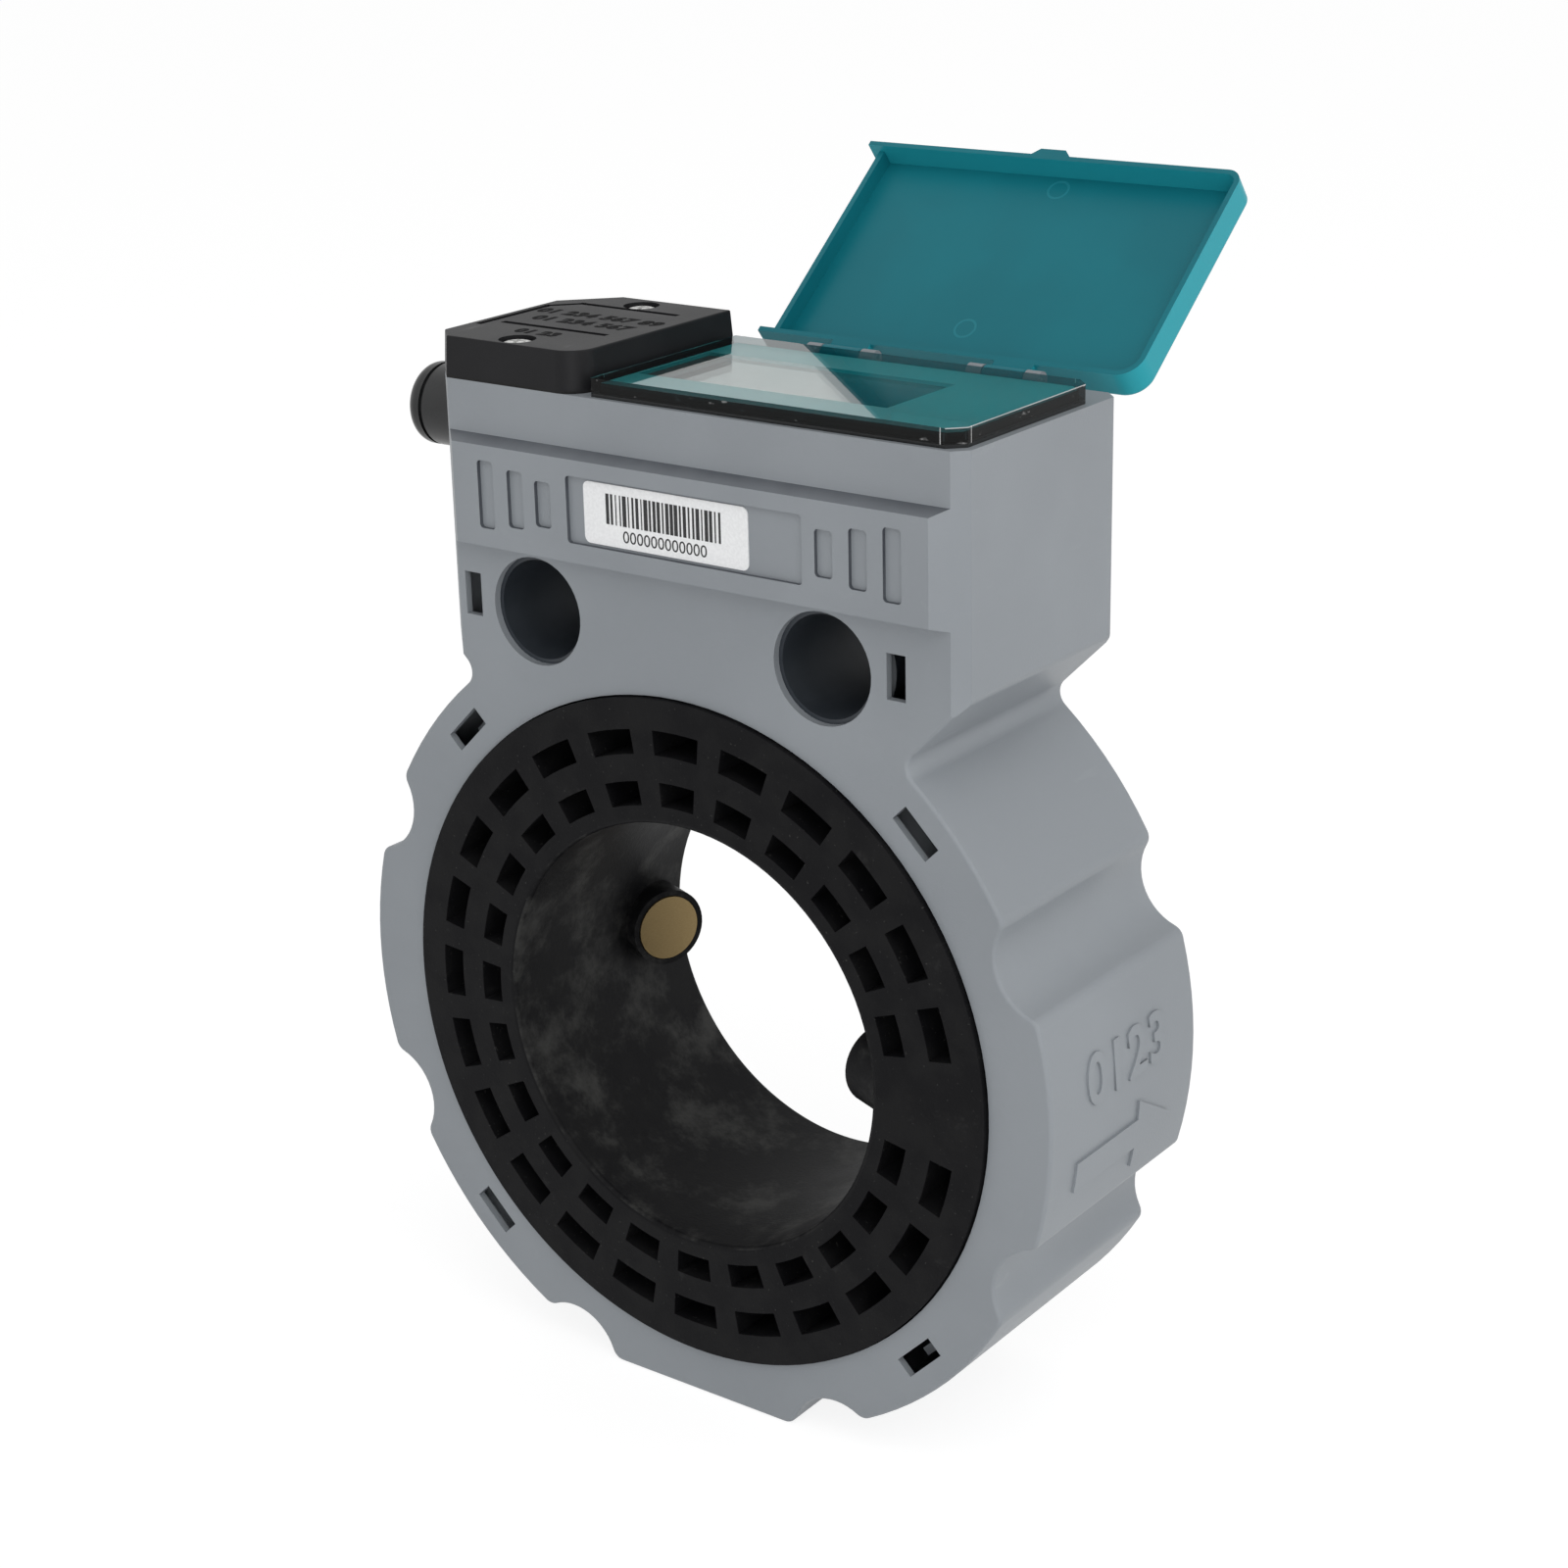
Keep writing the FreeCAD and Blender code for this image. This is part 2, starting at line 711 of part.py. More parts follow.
def display_case():
    """Black tub that hangs in the head by its flange and carries the board and the panel."""
    flange = prism_z(cover_outline(0), head_top, cover_bottom)
    rim = prism_z(cover_outline(cover_wall + case_rim_gap), cover_bottom, overlay_bottom)
    tub = box(-case_left, case_right, case_front, case_back, case_floor, head_top)
    case = flange.fuse([rim, tub])
    inside = box(-case_left + case_wall, case_right - case_wall, case_front + case_wall,
                 case_back - case_wall, case_floor + case_wall, overlay_bottom + 1)
    case = case.cut(inside)
    case = case.fuse(case_posts(case_floor + case_wall - 0.5, board_top - board_thickness, post_radius))
    depth = board_screw_length - board_thickness
    return case.cut(case_posts(board_top - board_thickness - depth, board_top, board_screw_diameter / 2))


def main_board():
    """Circuit board with its processor, a row of capacitors and the lead connector."""
    x0 = -case_left + case_wall + board_gap
    x1 = case_right - case_wall - board_gap
    y0 = case_front + case_wall + board_gap
    y1 = case_back - case_wall - board_gap
    board = box(x0, x1, y0, y1, board_top - board_thickness, board_top)
    middle = (y0 + y1) / 2
    processor = box(x0 + processor_inset, x0 + processor_inset + processor_side, middle - processor_side / 2,
                    middle + processor_side / 2, board_top, board_top + processor_height)
    connector = box(x0 + connector_inset, x0 + connector_inset + connector_width, middle - connector_length / 2,
                    middle + connector_length / 2, board_top, board_top + connector_height)
    chips = [processor, connector]
    for number in range(capacitor_count):
        x = x1 - processor_inset + capacitor_pitch * number
        chips.append(round_z(x, middle, capacitor_diameter / 2, board_top, board_top + capacitor_height))
    board = board.fuse(chips)
    return board.cut(case_posts(board_top - board_thickness - 1, board_top + 1, board_screw_diameter / 2))


def board_screws():
    shanks = case_posts(board_top - board_screw_length + board_gap, board_top, board_screw_diameter / 2)
    heads = case_posts(board_top, board_top + board_screw_head_height, board_screw_head_diameter / 2)
    return Part.makeCompound([shank.fuse(head) for shank, head in zip(shanks, heads)])


def overlay_window(z0, z1):
    return box(-overlay_window_left, overlay_window_right, overlay_window_front, overlay_window_back, z0, z1)


def display_bezel():
    """Black frame under the overlay's window that holds the panel, standing on the board."""
    outer = box(-case_left + case_wall + board_gap, overlay_window_right + bezel_wall,
                overlay_window_front - bezel_wall, overlay_window_back + bezel_wall,
                board_top + bezel_stand, overlay_bottom)
    seat = box(-panel_left, panel_right, overlay_window_front - panel_margin_y,
               overlay_window_back + panel_margin_y, overlay_bottom - panel_thickness, overlay_bottom + 1)
    hollow = box(-panel_left + bezel_lip, panel_right - bezel_lip, overlay_window_front + bezel_lip,
                 overlay_window_back - bezel_lip, board_top, overlay_bottom + 1)
    legs = [box(x, x + bezel_leg, y, y + bezel_leg, board_top, board_top + bezel_stand)
            for x in (-panel_left - bezel_leg, panel_right)
            for y in (overlay_window_front + bezel_lip, overlay_window_back - bezel_lip - bezel_leg)]
    return outer.cut([seat, hollow]).fuse(legs)


def display_panel():
    return box(-panel_left, panel_right, overlay_window_front - panel_margin_y,
               overlay_window_back + panel_margin_y, overlay_bottom - panel_thickness, overlay_bottom)


def display_overlay():
    sheet = prism_z(cover_outline(cover_wall + case_rim_gap), overlay_bottom, overlay_top)
    return sheet.cut(overlay_window(overlay_bottom - 1, overlay_top + 1))


def display_window():
    """Clear cover: a flat top with a skirt down to the case's flange."""
    cover = prism_z(cover_outline(0), cover_bottom, cover_top)
    return cover.cut(prism_z(cover_outline(cover_wall), cover_bottom - 1, overlay_top))


def terminal_wire(inset, z):
    """Plan of the black cover: both left corners cut off, and a rounded one at the front right."""
    left = -head_left + inset
    right = -terminal_cover_right - inset
    front = front_y + inset
    back = terminal_cover_back - inset
    cut = terminal_cover_chamfer - inset * (2 - math.sqrt(2))
    front_cut = head_left_chamfer - inset * (2 - math.sqrt(2))
    round_off = terminal_cover_corner - inset
    diagonal = round_off * (1 - math.sqrt(0.5))
    start = vec(right - round_off, front, z)
    end = vec(right, front + round_off, z)
    middle = vec(right - diagonal, front + diagonal, z)
    corners = [end, vec(right, back, z), vec(left + cut, back, z), vec(left, back - cut, z),
               vec(left, front + front_cut, z), vec(left + front_cut, front, z), start]
    edges = [Part.makeLine(corners[number], corners[number + 1]) for number in range(len(corners) - 1)]
    edges.append(Part.Arc(start, middle, end).toShape())
    return Part.Wire(edges)


def terminal_gasket():
    outer = Part.Face(terminal_wire(0, head_top))
    inner = Part.Face(terminal_wire(terminal_gasket_width, head_top))
    lift = vec(0, 0, terminal_gasket_thickness)
    return outer.extrude(lift).cut(inner.extrude(lift))


def stroke(start, end, z0, z1):
    """Straight groove between two points of the plan."""
    length = math.hypot(end[0] - start[0], end[1] - start[1])
    half = engraving_width / 2
    along = ((end[0] - start[0]) / length * half, (end[1] - start[1]) / length * half)
    corners = [(start[0] - along[0] + along[1], start[1] - along[1] - along[0]),
               (end[0] + along[0] + along[1], end[1] + along[1] - along[0]),
               (end[0] + along[0] - along[1], end[1] + along[1] + along[0]),
               (start[0] - along[0] - along[1], start[1] - along[1] + along[0])]
    return prism_z(corners, z0, z1)


def cover_engraving():
    """Open frame and a bar cut into the top of the black cover."""
    left = -head_left + engraving_side_inset
    right = -terminal_cover_right - engraving_right_inset
    back = terminal_cover_back - engraving_back_inset
    bar_y = front_y + engraved_bar_inset
    frame = [(left, front_y + engraving_front_inset), (left, back - engraving_chamfer),
             (left + engraving_chamfer, back), (right, back)]
    pairs = list(zip(frame, frame[1:])) + [((left + engraved_bar_start, bar_y), (right, bar_y))]
    return [stroke(start, end, terminal_cover_top - engraving_depth, terminal_cover_top + 1)
            for start, end in pairs]


def cover_bosses(radius, z0, z1):
    return [round_z(cover_screw_x, y, radius, z0, z1) for y in (cover_screw_front, cover_screw_back)]


def terminal_cover():
    plans = [terminal_wire(0, gasket_top), terminal_wire(terminal_cover_draft, terminal_cover_top)]
    blank = Part.makeLoft(plans, True, True)
    hollow = Part.Face(terminal_wire(terminal_cover_draft + terminal_cover_wall, gasket_top - 1))
    room = hollow.extrude(vec(0, 0, terminal_cover_top - terminal_cover_wall - gasket_top + 1))
    bosses = cover_bosses(screw_boss_diameter / 2, gasket_top, terminal_cover_top - terminal_cover_wall)
    cover = blank.cut(room.cut(bosses))
    cover = round_edges(cover, terminal_cover_rounding,
                        lambda edge: edge.BoundBox.ZMin > terminal_cover_top - 0.01)
    cuts = cover_bosses(cover_screw_head_diameter / 2 + cover_screw_recess_gap, cover_screw_seat,
                        terminal_cover_top + 1)
    cuts += cover_bosses(cover_screw_diameter / 2 + screw_fit, gasket_top - 1, cover_screw_seat + 1)
    return cover.cut(cuts + cover_engraving()).removeSplitter()


def cover_screws():
    """Domed screws that hold the black cover."""
    top = cover_screw_seat + cover_screw_head_height
    heads = cover_bosses(cover_screw_head_diameter / 2, cover_screw_seat, top)
    shanks = cover_bosses(cover_screw_diameter / 2, cover_screw_seat - cover_screw_length, cover_screw_seat)
    domes = [round_edges(head, cover_screw_head_height / 2, lambda edge: edge.BoundBox.ZMin > top - 0.01)
             for head in heads]
    return Part.makeCompound([dome.fuse(shank) for dome, shank in zip(domes, shanks)])


def terminal_opening():
    """Hole in the top wall under the black cover."""
    margin = terminal_gasket_width
    return box(-head_left + margin + 2, -terminal_cover_right - margin, cover_screw_front + 4,
               cover_screw_back - 4, head_top - top_wall - 1, head_top + 1)


def battery_places():
    """Middle of the cell, lying along Y on the shelf."""
    floor = shelf_height + shelf_thickness
    return gland_inner_end + battery_gap + battery_diameter / 2, floor + cradle_wall + battery_diameter / 2


def battery():
    x, z = battery_places()
    y0 = flow_middle - battery_length / 2
    cell = round_y(x, z, battery_diameter / 2, y0, y0 + battery_length)
    return cell.fuse(round_y(x, z, battery_cap_diameter / 2, y0 - battery_cap_height, y0))


def battery_cradle():
    """Two half rings on a base plate that hold the cell on the shelf."""
    x, z = battery_places()
    radius = battery_diameter / 2
    floor = shelf_height + shelf_thickness
    length = battery_length
    y0 = flow_middle - length / 2
    blank = box(x - radius - cradle_wall, x + radius + cradle_wall, y0, y0 + length, floor, z)
    middle = box(x - radius - 2 * cradle_wall, x + radius + 2 * cradle_wall, y0 + 6, y0 + length - 6,
                 floor + cradle_wall, z + 1)
    return blank.cut([round_y(x, z, radius, y0 - 1, y0 + length + 1), middle])


def terminal_block():
    """Row of screw terminals beside the cell."""
    x0 = -case_left - terminal_depth - terminal_gap
    floor = shelf_height + shelf_thickness
    y0 = flow_middle - terminal_ways * terminal_pitch / 2
    length = terminal_ways * terminal_pitch
    block = box(x0, x0 + terminal_depth, y0, y0 + length, floor, floor + terminal_height)
    cuts = []
    for number in range(terminal_ways):
        y = y0 + terminal_pitch * (number + 0.5)
        cuts.append(round_z(x0 + terminal_depth - terminal_screw_diameter, y, terminal_screw_diameter / 2,
                            floor + terminal_height - terminal_screw_depth, floor + terminal_height + 1))
        cuts.append(box(x0 - 1, x0 + wire_entry_depth, y - wire_entry_width / 2, y + wire_entry_width / 2,
                        floor + wire_entry_rise, floor + wire_entry_rise + wire_entry_height))
    return block.cut(cuts)


def hexagon_x(width, y, z, x0, x1):
    """Hexagonal prism along X, measured across the flats."""
    corner = width / math.sqrt(3)
    points = []
    for number in range(6):
        turn = math.radians(60 * number)
        points.append((y + corner * math.cos(turn), z + corner * math.sin(turn)))
    return prism_x(points, x0, x1)


def gland_body():
    """Threaded stem through the wall, a hexagon flange and the collar for the nut."""
    wall = -head_left
    flange = hexagon_x(gland_flange_width, flow_middle, gland_height, wall - gland_flange_thickness, wall)
    stem = round_x(flow_middle, gland_height, gland_thread_diameter / 2, wall, gland_inner_end)
    collar = round_x(flow_middle, gland_height, gland_nut_diameter / 2 - gland_nut_wall, gland_collar_end,
                     wall - gland_flange_thickness)
    hole = round_x(flow_middle, gland_height, gland_mouth_diameter / 2, gland_collar_end - 1,
                   gland_inner_end + 1)
    return flange.fuse([stem, collar]).cut(hole)


def gland_nut():
    """Domed nut with a turned groove behind its rounded end."""
    start = -head_left - gland_flange_thickness - gland_nut_gap
    end = start - gland_nut_length
    radius = gland_nut_diameter / 2
    nut = round_x(flow_middle, gland_height, radius, end, start)
    nut = round_edges(nut, gland_dome_radius, lambda edge: edge.BoundBox.XMax < end + 0.01)
    groove_x = end + gland_groove_inset
    groove = round_x(flow_middle, gland_height, radius + 1, groove_x, groove_x + gland_groove_width)
    groove = groove.cut(round_x(flow_middle, gland_height, radius - gland_groove, groove_x - 1,
                                groove_x + gland_groove_width + 1))
    room = round_x(flow_middle, gland_height, radius - gland_nut_wall + gland_thread_gap,
                   gland_collar_end - gland_seal_length, start + 1)
    mouth = round_x(flow_middle, gland_height, gland_mouth_diameter / 2, end - 1, start)
    return nut.cut([groove, room, mouth])


def gland_seal():
    """Rubber ring that grips a cable between the collar and the nut."""
    radius = gland_nut_diameter / 2 - gland_nut_wall
    ring = round_x(flow_middle, gland_height, radius, gland_collar_end - gland_seal_length, gland_collar_end)
    return ring.cut(round_x(flow_middle, gland_height, gland_cable_diameter / 2,
                            gland_collar_end - gland_seal_length - 1, gland_collar_end + 1))


def gland_locknut():
    nut = hexagon_x(gland_locknut_width, flow_middle, gland_height, gland_wall,
                    gland_wall + gland_locknut_thickness)
    return nut.cut(round_x(flow_middle, gland_height, gland_thread_diameter / 2, gland_wall - 1,
                           gland_wall + gland_locknut_thickness + 1))


def label():
    """Paper label on the bed of the raised block."""
    bed_y = front_y - block_height + recess_depth
    return rounded_box(label_centre_x - label_width / 2, label_centre_x + label_width / 2,
                       bed_y - label_thickness, bed_y, recess_middle - label_height / 2,
                       recess_middle + label_height / 2, label_corner, along_y)


def hinge_pins():
    pins = []
    for start in knuckle_starts:
        x0 = start - knuckle_side_gap - lug_length
        x1 = start + knuckle_length + knuckle_side_gap + lug_length
        pins.append(round_x(hinge_axis_y, hinge_axis_z, hinge_pin_diameter / 2, x0, x1))
    return Part.makeCompound(pins)


def lid_closed():
    """Shallow tray upside down over the display, with a set-in wall on the side of the black cover."""
    outer = box(-lid_left, head_right, lid_front, lid_back, lid_bottom, lid_top)
    right_edges = lambda edge, y: (is_along(edge, along_z) and edge.CenterOfMass.x > head_right - 0.01
                                   and abs(edge.CenterOfMass.y - y) < 0.01)
    outer = round_edges(outer, lid_front_corner, lambda edge: right_edges(edge, lid_front))
    outer = round_edges(outer, lid_back_corner, lambda edge: right_edges(edge, lid_back))
    top_edges = lambda edge: (edge.BoundBox.ZMin > lid_top - 0.01 and edge.CenterOfMass.x > -lid_left + 0.01)
    outer = round_edges(outer, lid_top_rounding, top_edges)
    inside = box(-lid_side_left + lid_side_wall, head_right - lid_wall, lid_front + lid_wall,
                 lid_back - lid_wall, lid_bottom - 1, lid_top - lid_plate)
    inner_right = lambda edge, y: (is_along(edge, along_z)
                                   and edge.CenterOfMass.x > head_right - lid_wall - 0.01
                                   and abs(edge.CenterOfMass.y - y) < 0.01)
    inside = round_edges(inside, lid_front_corner - lid_wall,
                         lambda edge: inner_right(edge, lid_front + lid_wall))
    inside = round_edges(inside, lid_back_corner - lid_wall,
                         lambda edge: inner_right(edge, lid_back - lid_wall))
    beside = box(-lid_left - 1, -lid_side_left, lid_front + lid_wall, lid_back - lid_wall,
                 lid_bottom - 1, lid_top + 1)
    short = box(-lid_side_left - 1, -lid_side_left + lid_side_wall + 1, lid_front + lid_wall,
                lid_back - lid_wall, lid_bottom - 1, lid_bottom + lid_side_short)
    tab = prism_z([(tab_left, lid_front), (tab_left + tab_proud, lid_front - tab_proud),
                   (tab_right - tab_proud, lid_front - tab_proud), (tab_right, lid_front)],
                  lid_bottom, lid_bottom + tab_height)
    return outer.cut([inside, beside, short]).fuse(tab)


def lid():
    """The lid with its hinge arms, turned open."""
    shape = lid_closed()
    arms = []
    for start in knuckle_starts:
        arm = box(start, start + knuckle_length, lid_back - lid_wall, hinge_axis_y,
                  lid_bottom, hinge_axis_z + knuckle_radius)
        eye = round_x(hinge_axis_y, hinge_axis_z, knuckle_radius, start, start + knuckle_length)
        arms.append(arm.fuse(eye))
    shape = shape.fuse(arms)
    bores = [round_x(hinge_axis_y, hinge_axis_z, hinge_pin_diameter / 2 + hinge_running_gap,
                     start - 1, start + knuckle_length + 1) for start in knuckle_starts]
    shape = shape.cut(bores).removeSplitter()
    shape.rotate(vec(0, hinge_axis_y, hinge_axis_z), along_x, -lid_open_angle)
    return shape


left_bolt, right_bolt = top_bolts
nodes = {
    "front_shell": front_shell(),
    "rear_shell": rear_shell(),
    "measuring_tube": measuring_tube(),
    "bolt_sleeve_left": bolt_sleeve(*left_bolt),
    "bolt_sleeve_right": bolt_sleeve(*right_bolt),
    "transducer_left": transducer(-1),
    "transducer_right": transducer(1),
    "transducer_seal_left": transducer_seal(-1),
    "transducer_seal_right": transducer_seal(1),
    "transducer_face_left": transducer_face(-1),
    "transducer_face_right": transducer_face(1),
    "display_case": display_case(),
    "main_board": main_board(),
    "board_screws": board_screws(),
    "display_bezel": display_bezel(),
    "display_panel": display_panel(),
    "display_overlay": display_overlay(),
    "display_window": display_window(),
    "battery": battery(),
    "battery_cradle": battery_cradle(),
    "terminal_block": terminal_block(),
    "terminal_gasket": terminal_gasket(),
    "terminal_cover": terminal_cover(),
    "cover_screws": cover_screws(),
    "gland_body": gland_body(),
    "gland_nut": gland_nut(),
    "gland_seal": gland_seal(),
    "gland_locknut": gland_locknut(),
    "label": label(),
    "hinge_pins": hinge_pins(),
    "lid": lid(),
}

os.makedirs("parts", exist_ok=True)
for name, shape in nodes.items():
    shape.exportStep("parts/" + name + ".step")
    print(name, len(shape.Solids), round(shape.Volume), shape.isValid())
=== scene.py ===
import math
import bpy
import bmesh
from mathutils import Matrix, Vector


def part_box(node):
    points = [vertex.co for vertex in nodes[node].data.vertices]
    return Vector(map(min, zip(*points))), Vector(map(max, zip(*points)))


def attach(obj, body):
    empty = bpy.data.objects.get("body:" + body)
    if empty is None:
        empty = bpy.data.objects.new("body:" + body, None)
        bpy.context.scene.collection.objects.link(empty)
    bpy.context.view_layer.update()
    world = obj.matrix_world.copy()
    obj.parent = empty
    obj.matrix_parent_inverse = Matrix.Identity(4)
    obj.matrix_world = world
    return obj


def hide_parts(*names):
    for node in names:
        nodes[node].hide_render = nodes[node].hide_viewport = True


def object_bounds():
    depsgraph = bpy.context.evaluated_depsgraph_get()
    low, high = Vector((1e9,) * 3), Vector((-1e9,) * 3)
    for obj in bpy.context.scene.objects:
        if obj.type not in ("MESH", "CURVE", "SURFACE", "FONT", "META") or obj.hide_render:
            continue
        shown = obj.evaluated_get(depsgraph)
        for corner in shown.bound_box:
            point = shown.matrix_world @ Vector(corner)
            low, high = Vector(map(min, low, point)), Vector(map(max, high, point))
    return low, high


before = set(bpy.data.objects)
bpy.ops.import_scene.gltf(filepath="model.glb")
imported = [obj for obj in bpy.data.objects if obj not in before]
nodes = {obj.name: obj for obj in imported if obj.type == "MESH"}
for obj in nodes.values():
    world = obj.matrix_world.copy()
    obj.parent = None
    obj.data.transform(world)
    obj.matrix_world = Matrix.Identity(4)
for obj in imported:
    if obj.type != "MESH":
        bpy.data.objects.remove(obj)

cadLow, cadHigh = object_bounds()


# Helpers for objects and meshes
def addObject(name, data):
    made = bpy.data.objects.new(name, data)
    bpy.context.scene.collection.objects.link(made)
    return made


def meshOf(name, shape):
    mesh = bpy.data.meshes.new(name)
    shape.to_mesh(mesh)
    shape.free()
    return mesh


def bakedMesh(holder):
    bpy.context.view_layer.update()
    seen = holder.evaluated_get(bpy.context.evaluated_depsgraph_get())
    return bpy.data.meshes.new_from_object(seen)


# Camera, at the angle and distance of the photograph
camera = dict(place=(0.30576, -0.37908, 0.22487), lookAt=(0.02235, 0.001, 0.05229), roll=-1.332, lens=69.15,
              sensor=36.0, nearest=0.01)


def makeCamera(look):
    data = bpy.data.cameras.new("camera")
    data.lens = look["lens"]
    data.sensor_width = look["sensor"]
    data.clip_start = look["nearest"]
    eye = addObject("camera", data)
    forward = (Vector(look["lookAt"]) - Vector(look["place"])).normalized()
    right = forward.cross(Vector((0, 0, 1))).normalized()
    up = right.cross(forward)
    turn = math.radians(look["roll"])
    across = math.cos(turn) * right + math.sin(turn) * up
    upward = math.cos(turn) * up - math.sin(turn) * right
    axes = Matrix((across, upward, -forward)).transposed().to_4x4()
    eye.matrix_world = Matrix.Translation(look["place"]) @ axes
    bpy.context.scene.camera = eye


makeCamera(camera)
print("camera placed")


# Noise and cells swing round this value
noiseMiddle = 0.5


# One value in a node tree. Sums and comparisons on it add Math nodes
class Field:
    def __init__(self, owner, socket):
        self.owner = owner
        self.socket = socket

    def math(self, operation, *values):
        return self.owner.node("ShaderNodeMath", {"operation": operation}, dict(enumerate(values)))

    def __add__(self, other):
        return self.math("ADD", self, other)

    def __radd__(self, other):
        return self.math("ADD", other, self)

    def __sub__(self, other):
        return self.math("SUBTRACT", self, other)

    def __rsub__(self, other):
        return self.math("SUBTRACT", other, self)

    def __mul__(self, other):
        return self.math("MULTIPLY", self, other)

    def __rmul__(self, other):
        return self.math("MULTIPLY", other, self)

    def __gt__(self, other):
        return self.math("GREATER_THAN", self, other)

    def __lt__(self, other):
        return self.math("LESS_THAN", self, other)

    def swing(self, size):
        return (self - noiseMiddle) * size

    def step(self, low, high, toLow=0.0, toHigh=1.0):
        values = {"Value": self, "From Min": low, "From Max": high, "To Min": toLow, "To Max": toHigh}
        return self.owner.node("ShaderNodeMapRange", {"interpolation_type": "SMOOTHSTEP"}, values)


# A node tree: node adds a node, first its settings, then the values or links of its sockets
class Tree:
    def __init__(self, tree):
        self.tree = tree

    def put(self, socket, value):
        if isinstance(value, Field):
            self.tree.links.new(value.socket, socket)
        else:
            socket.default_value = value

    def node(self, kind, settings=None, inputs=None, output=0):
        made = self.tree.nodes.new(kind)
        for name, value in (settings or {}).items():
            setattr(made, name, value)
        for name, value in (inputs or {}).items():
            self.put(made.inputs[name], value)
        return Field(self, made.outputs[output])


# A material, started from the settings that are the same all over it
class Finish(Tree):
    def __init__(self, name, same):
        self.material = bpy.data.materials.new(name)
        self.material.use_nodes = True
        super().__init__(self.material.node_tree)
        self.shader = self.tree.nodes["Principled BSDF"]
        self.plain = Field(self, self.shader.outputs[0])
        self.set(same)

    def set(self, values):
        for socket, value in values.items():
            self.put(self.shader.inputs[socket], value)
        return self.material

    def where(self):
        return self.node("ShaderNodeTexCoord", output="Object")

    def spot(self, axis):
        return self.node("ShaderNodeSeparateXYZ", {}, {0: self.where()}, axis)

    def facing(self, axis):
        normal = self.node("ShaderNodeTexCoord", output="Normal")
        return self.node("ShaderNodeSeparateXYZ", {}, {0: normal}, axis)

    def noise(self, size, detail=3.0, roughness=0.5, shift=(0.0, 0.0, 0.0), stretch=(1.0, 1.0, 1.0)):
        spot = self.node("ShaderNodeMapping", {},
                         {"Vector": self.where(), "Location": shift, "Scale": stretch})
        return self.node("ShaderNodeTexNoise", {},
                         {"Vector": spot, "Scale": 1.0 / size, "Detail": detail, "Roughness": roughness})

    def cells(self, size):
        values = {"Vector": self.where(), "Scale": 1.0 / size}
        return self.node("ShaderNodeTexVoronoi", {}, values, "Distance")

    # The Mix node's colour sockets are 6 and 7, and its colour comes out at 2
    def blend(self, factor, first, second):
        return self.node("ShaderNodeMix", {"data_type": "RGBA"}, {0: factor, 6: first, 7: second}, 2)

    def relief(self, height, depth):
        values = {"Height": height, "Distance": depth, "Strength": 1.0}
        self.set({"Normal": self.node("ShaderNodeBump", {}, values)})

    def mixed(self, factor, first, second):
        return self.node("ShaderNodeMixShader", {}, {0: factor, 1: first, 2: second})

    def close(self, surface):
        self.put(self.tree.nodes["Material Output"].inputs["Surface"], surface)
        return self.material


# A tone as it is seen, from 0 to 255, turned into the linear values of a socket
def colour(red, green, blue):
    def linear(part):
        part = part / 255.0
        return part / 12.92 if part <= 0.04045 else ((part + 0.055) / 1.055) ** 2.4
    return (linear(red), linear(green), linear(blue), 1.0)


# Painted shade on the band's upward ledge, darkest at its top, and on the walls of its pockets, broken up a
# little by noise
def paintedLedgeShade(finish, band):
    x = finish.spot("X")
    z = finish.spot("Z")
    facingY = finish.facing("Y")
    front = (finish.spot("Y") < band["back"]) * (z > band["low"]) * (z < band["high"])
    inside = (x > band["left"]) * (x < band["right"]) * (z < band["ledge"])
    walls = inside * (facingY * facingY < band["wall"])
    slope = (finish.facing("Z") > band["slope"]) * (z > band["ledge"])
    ledge = slope * z.step(band["ledge"], band["high"], band["least"], 1.0)
    return front * (walls + ledge * (1 - inside)) * (1 - finish.noise(band["cloud"]) * band["fade"])


# Dust: worn patches in the bore, and fine specks on the face round it
def dusted(finish, tone, dust):
    x = finish.spot("X")
    z = finish.spot("Z")
    inside = x * x + z * z < dust["bore"] ** 2
    patches = finish.noise(dust["patch"], detail=5.0, roughness=0.7).step(low=0.46, high=0.72)
    specks = finish.noise(dust["speck"], detail=2.0).step(low=0.66, high=0.76)
    share = inside * patches * dust["patches"] + (1 - inside) * specks * dust["specks"]
    return finish.blend(share, tone, dust["tone"])


# Moulded plastics: a fine spark-eroded grain, slow tone changes and a few rub marks
moulding = dict(index=1.5, rubSize=14, rubShift=(3.1, 1.7, 0.4), rubStretch=(1.0, 0.25, 1.0),
                cloudRelief=0.4, cloudRough=0.16, grainRough=0.08, rubRough=0.08)


def mouldedPlastic(name, look):
    finish = Finish(name, {"IOR": moulding["index"], "Specular IOR Level": look["specular"]})
    grain = finish.noise(look["grain"], detail=2.0, roughness=0.6)
    cloud = finish.noise(look["cloud"], detail=3.0, roughness=0.55)
    rub = finish.noise(look["grain"] * moulding["rubSize"], detail=4.0, roughness=0.7,
                       shift=moulding["rubShift"], stretch=moulding["rubStretch"]).step(low=0.62, high=0.75)
    tone = finish.blend(cloud.step(low=0.35, high=0.65), look["dark"], look["light"])
    tone = finish.blend(rub * look["rub"], tone, look["worn"])
    # Painted shade on the band's ledge and pocket walls, for a finish that has it
    if "paintedShade" in look:
        tone = finish.blend(paintedLedgeShade(finish, look["band"]), tone, look["paintedShade"])
    if "dust" in look:
        tone = dusted(finish, tone, look["dust"])
    finish.relief(grain + moulding["cloudRelief"] * cloud, look["relief"])
    rough = (look["rough"] + cloud.swing(moulding["cloudRough"]) + grain.swing(moulding["grainRough"])
             - rub * moulding["rubRough"])
    return finish.set({"Base Color": tone, "Roughness": rough})


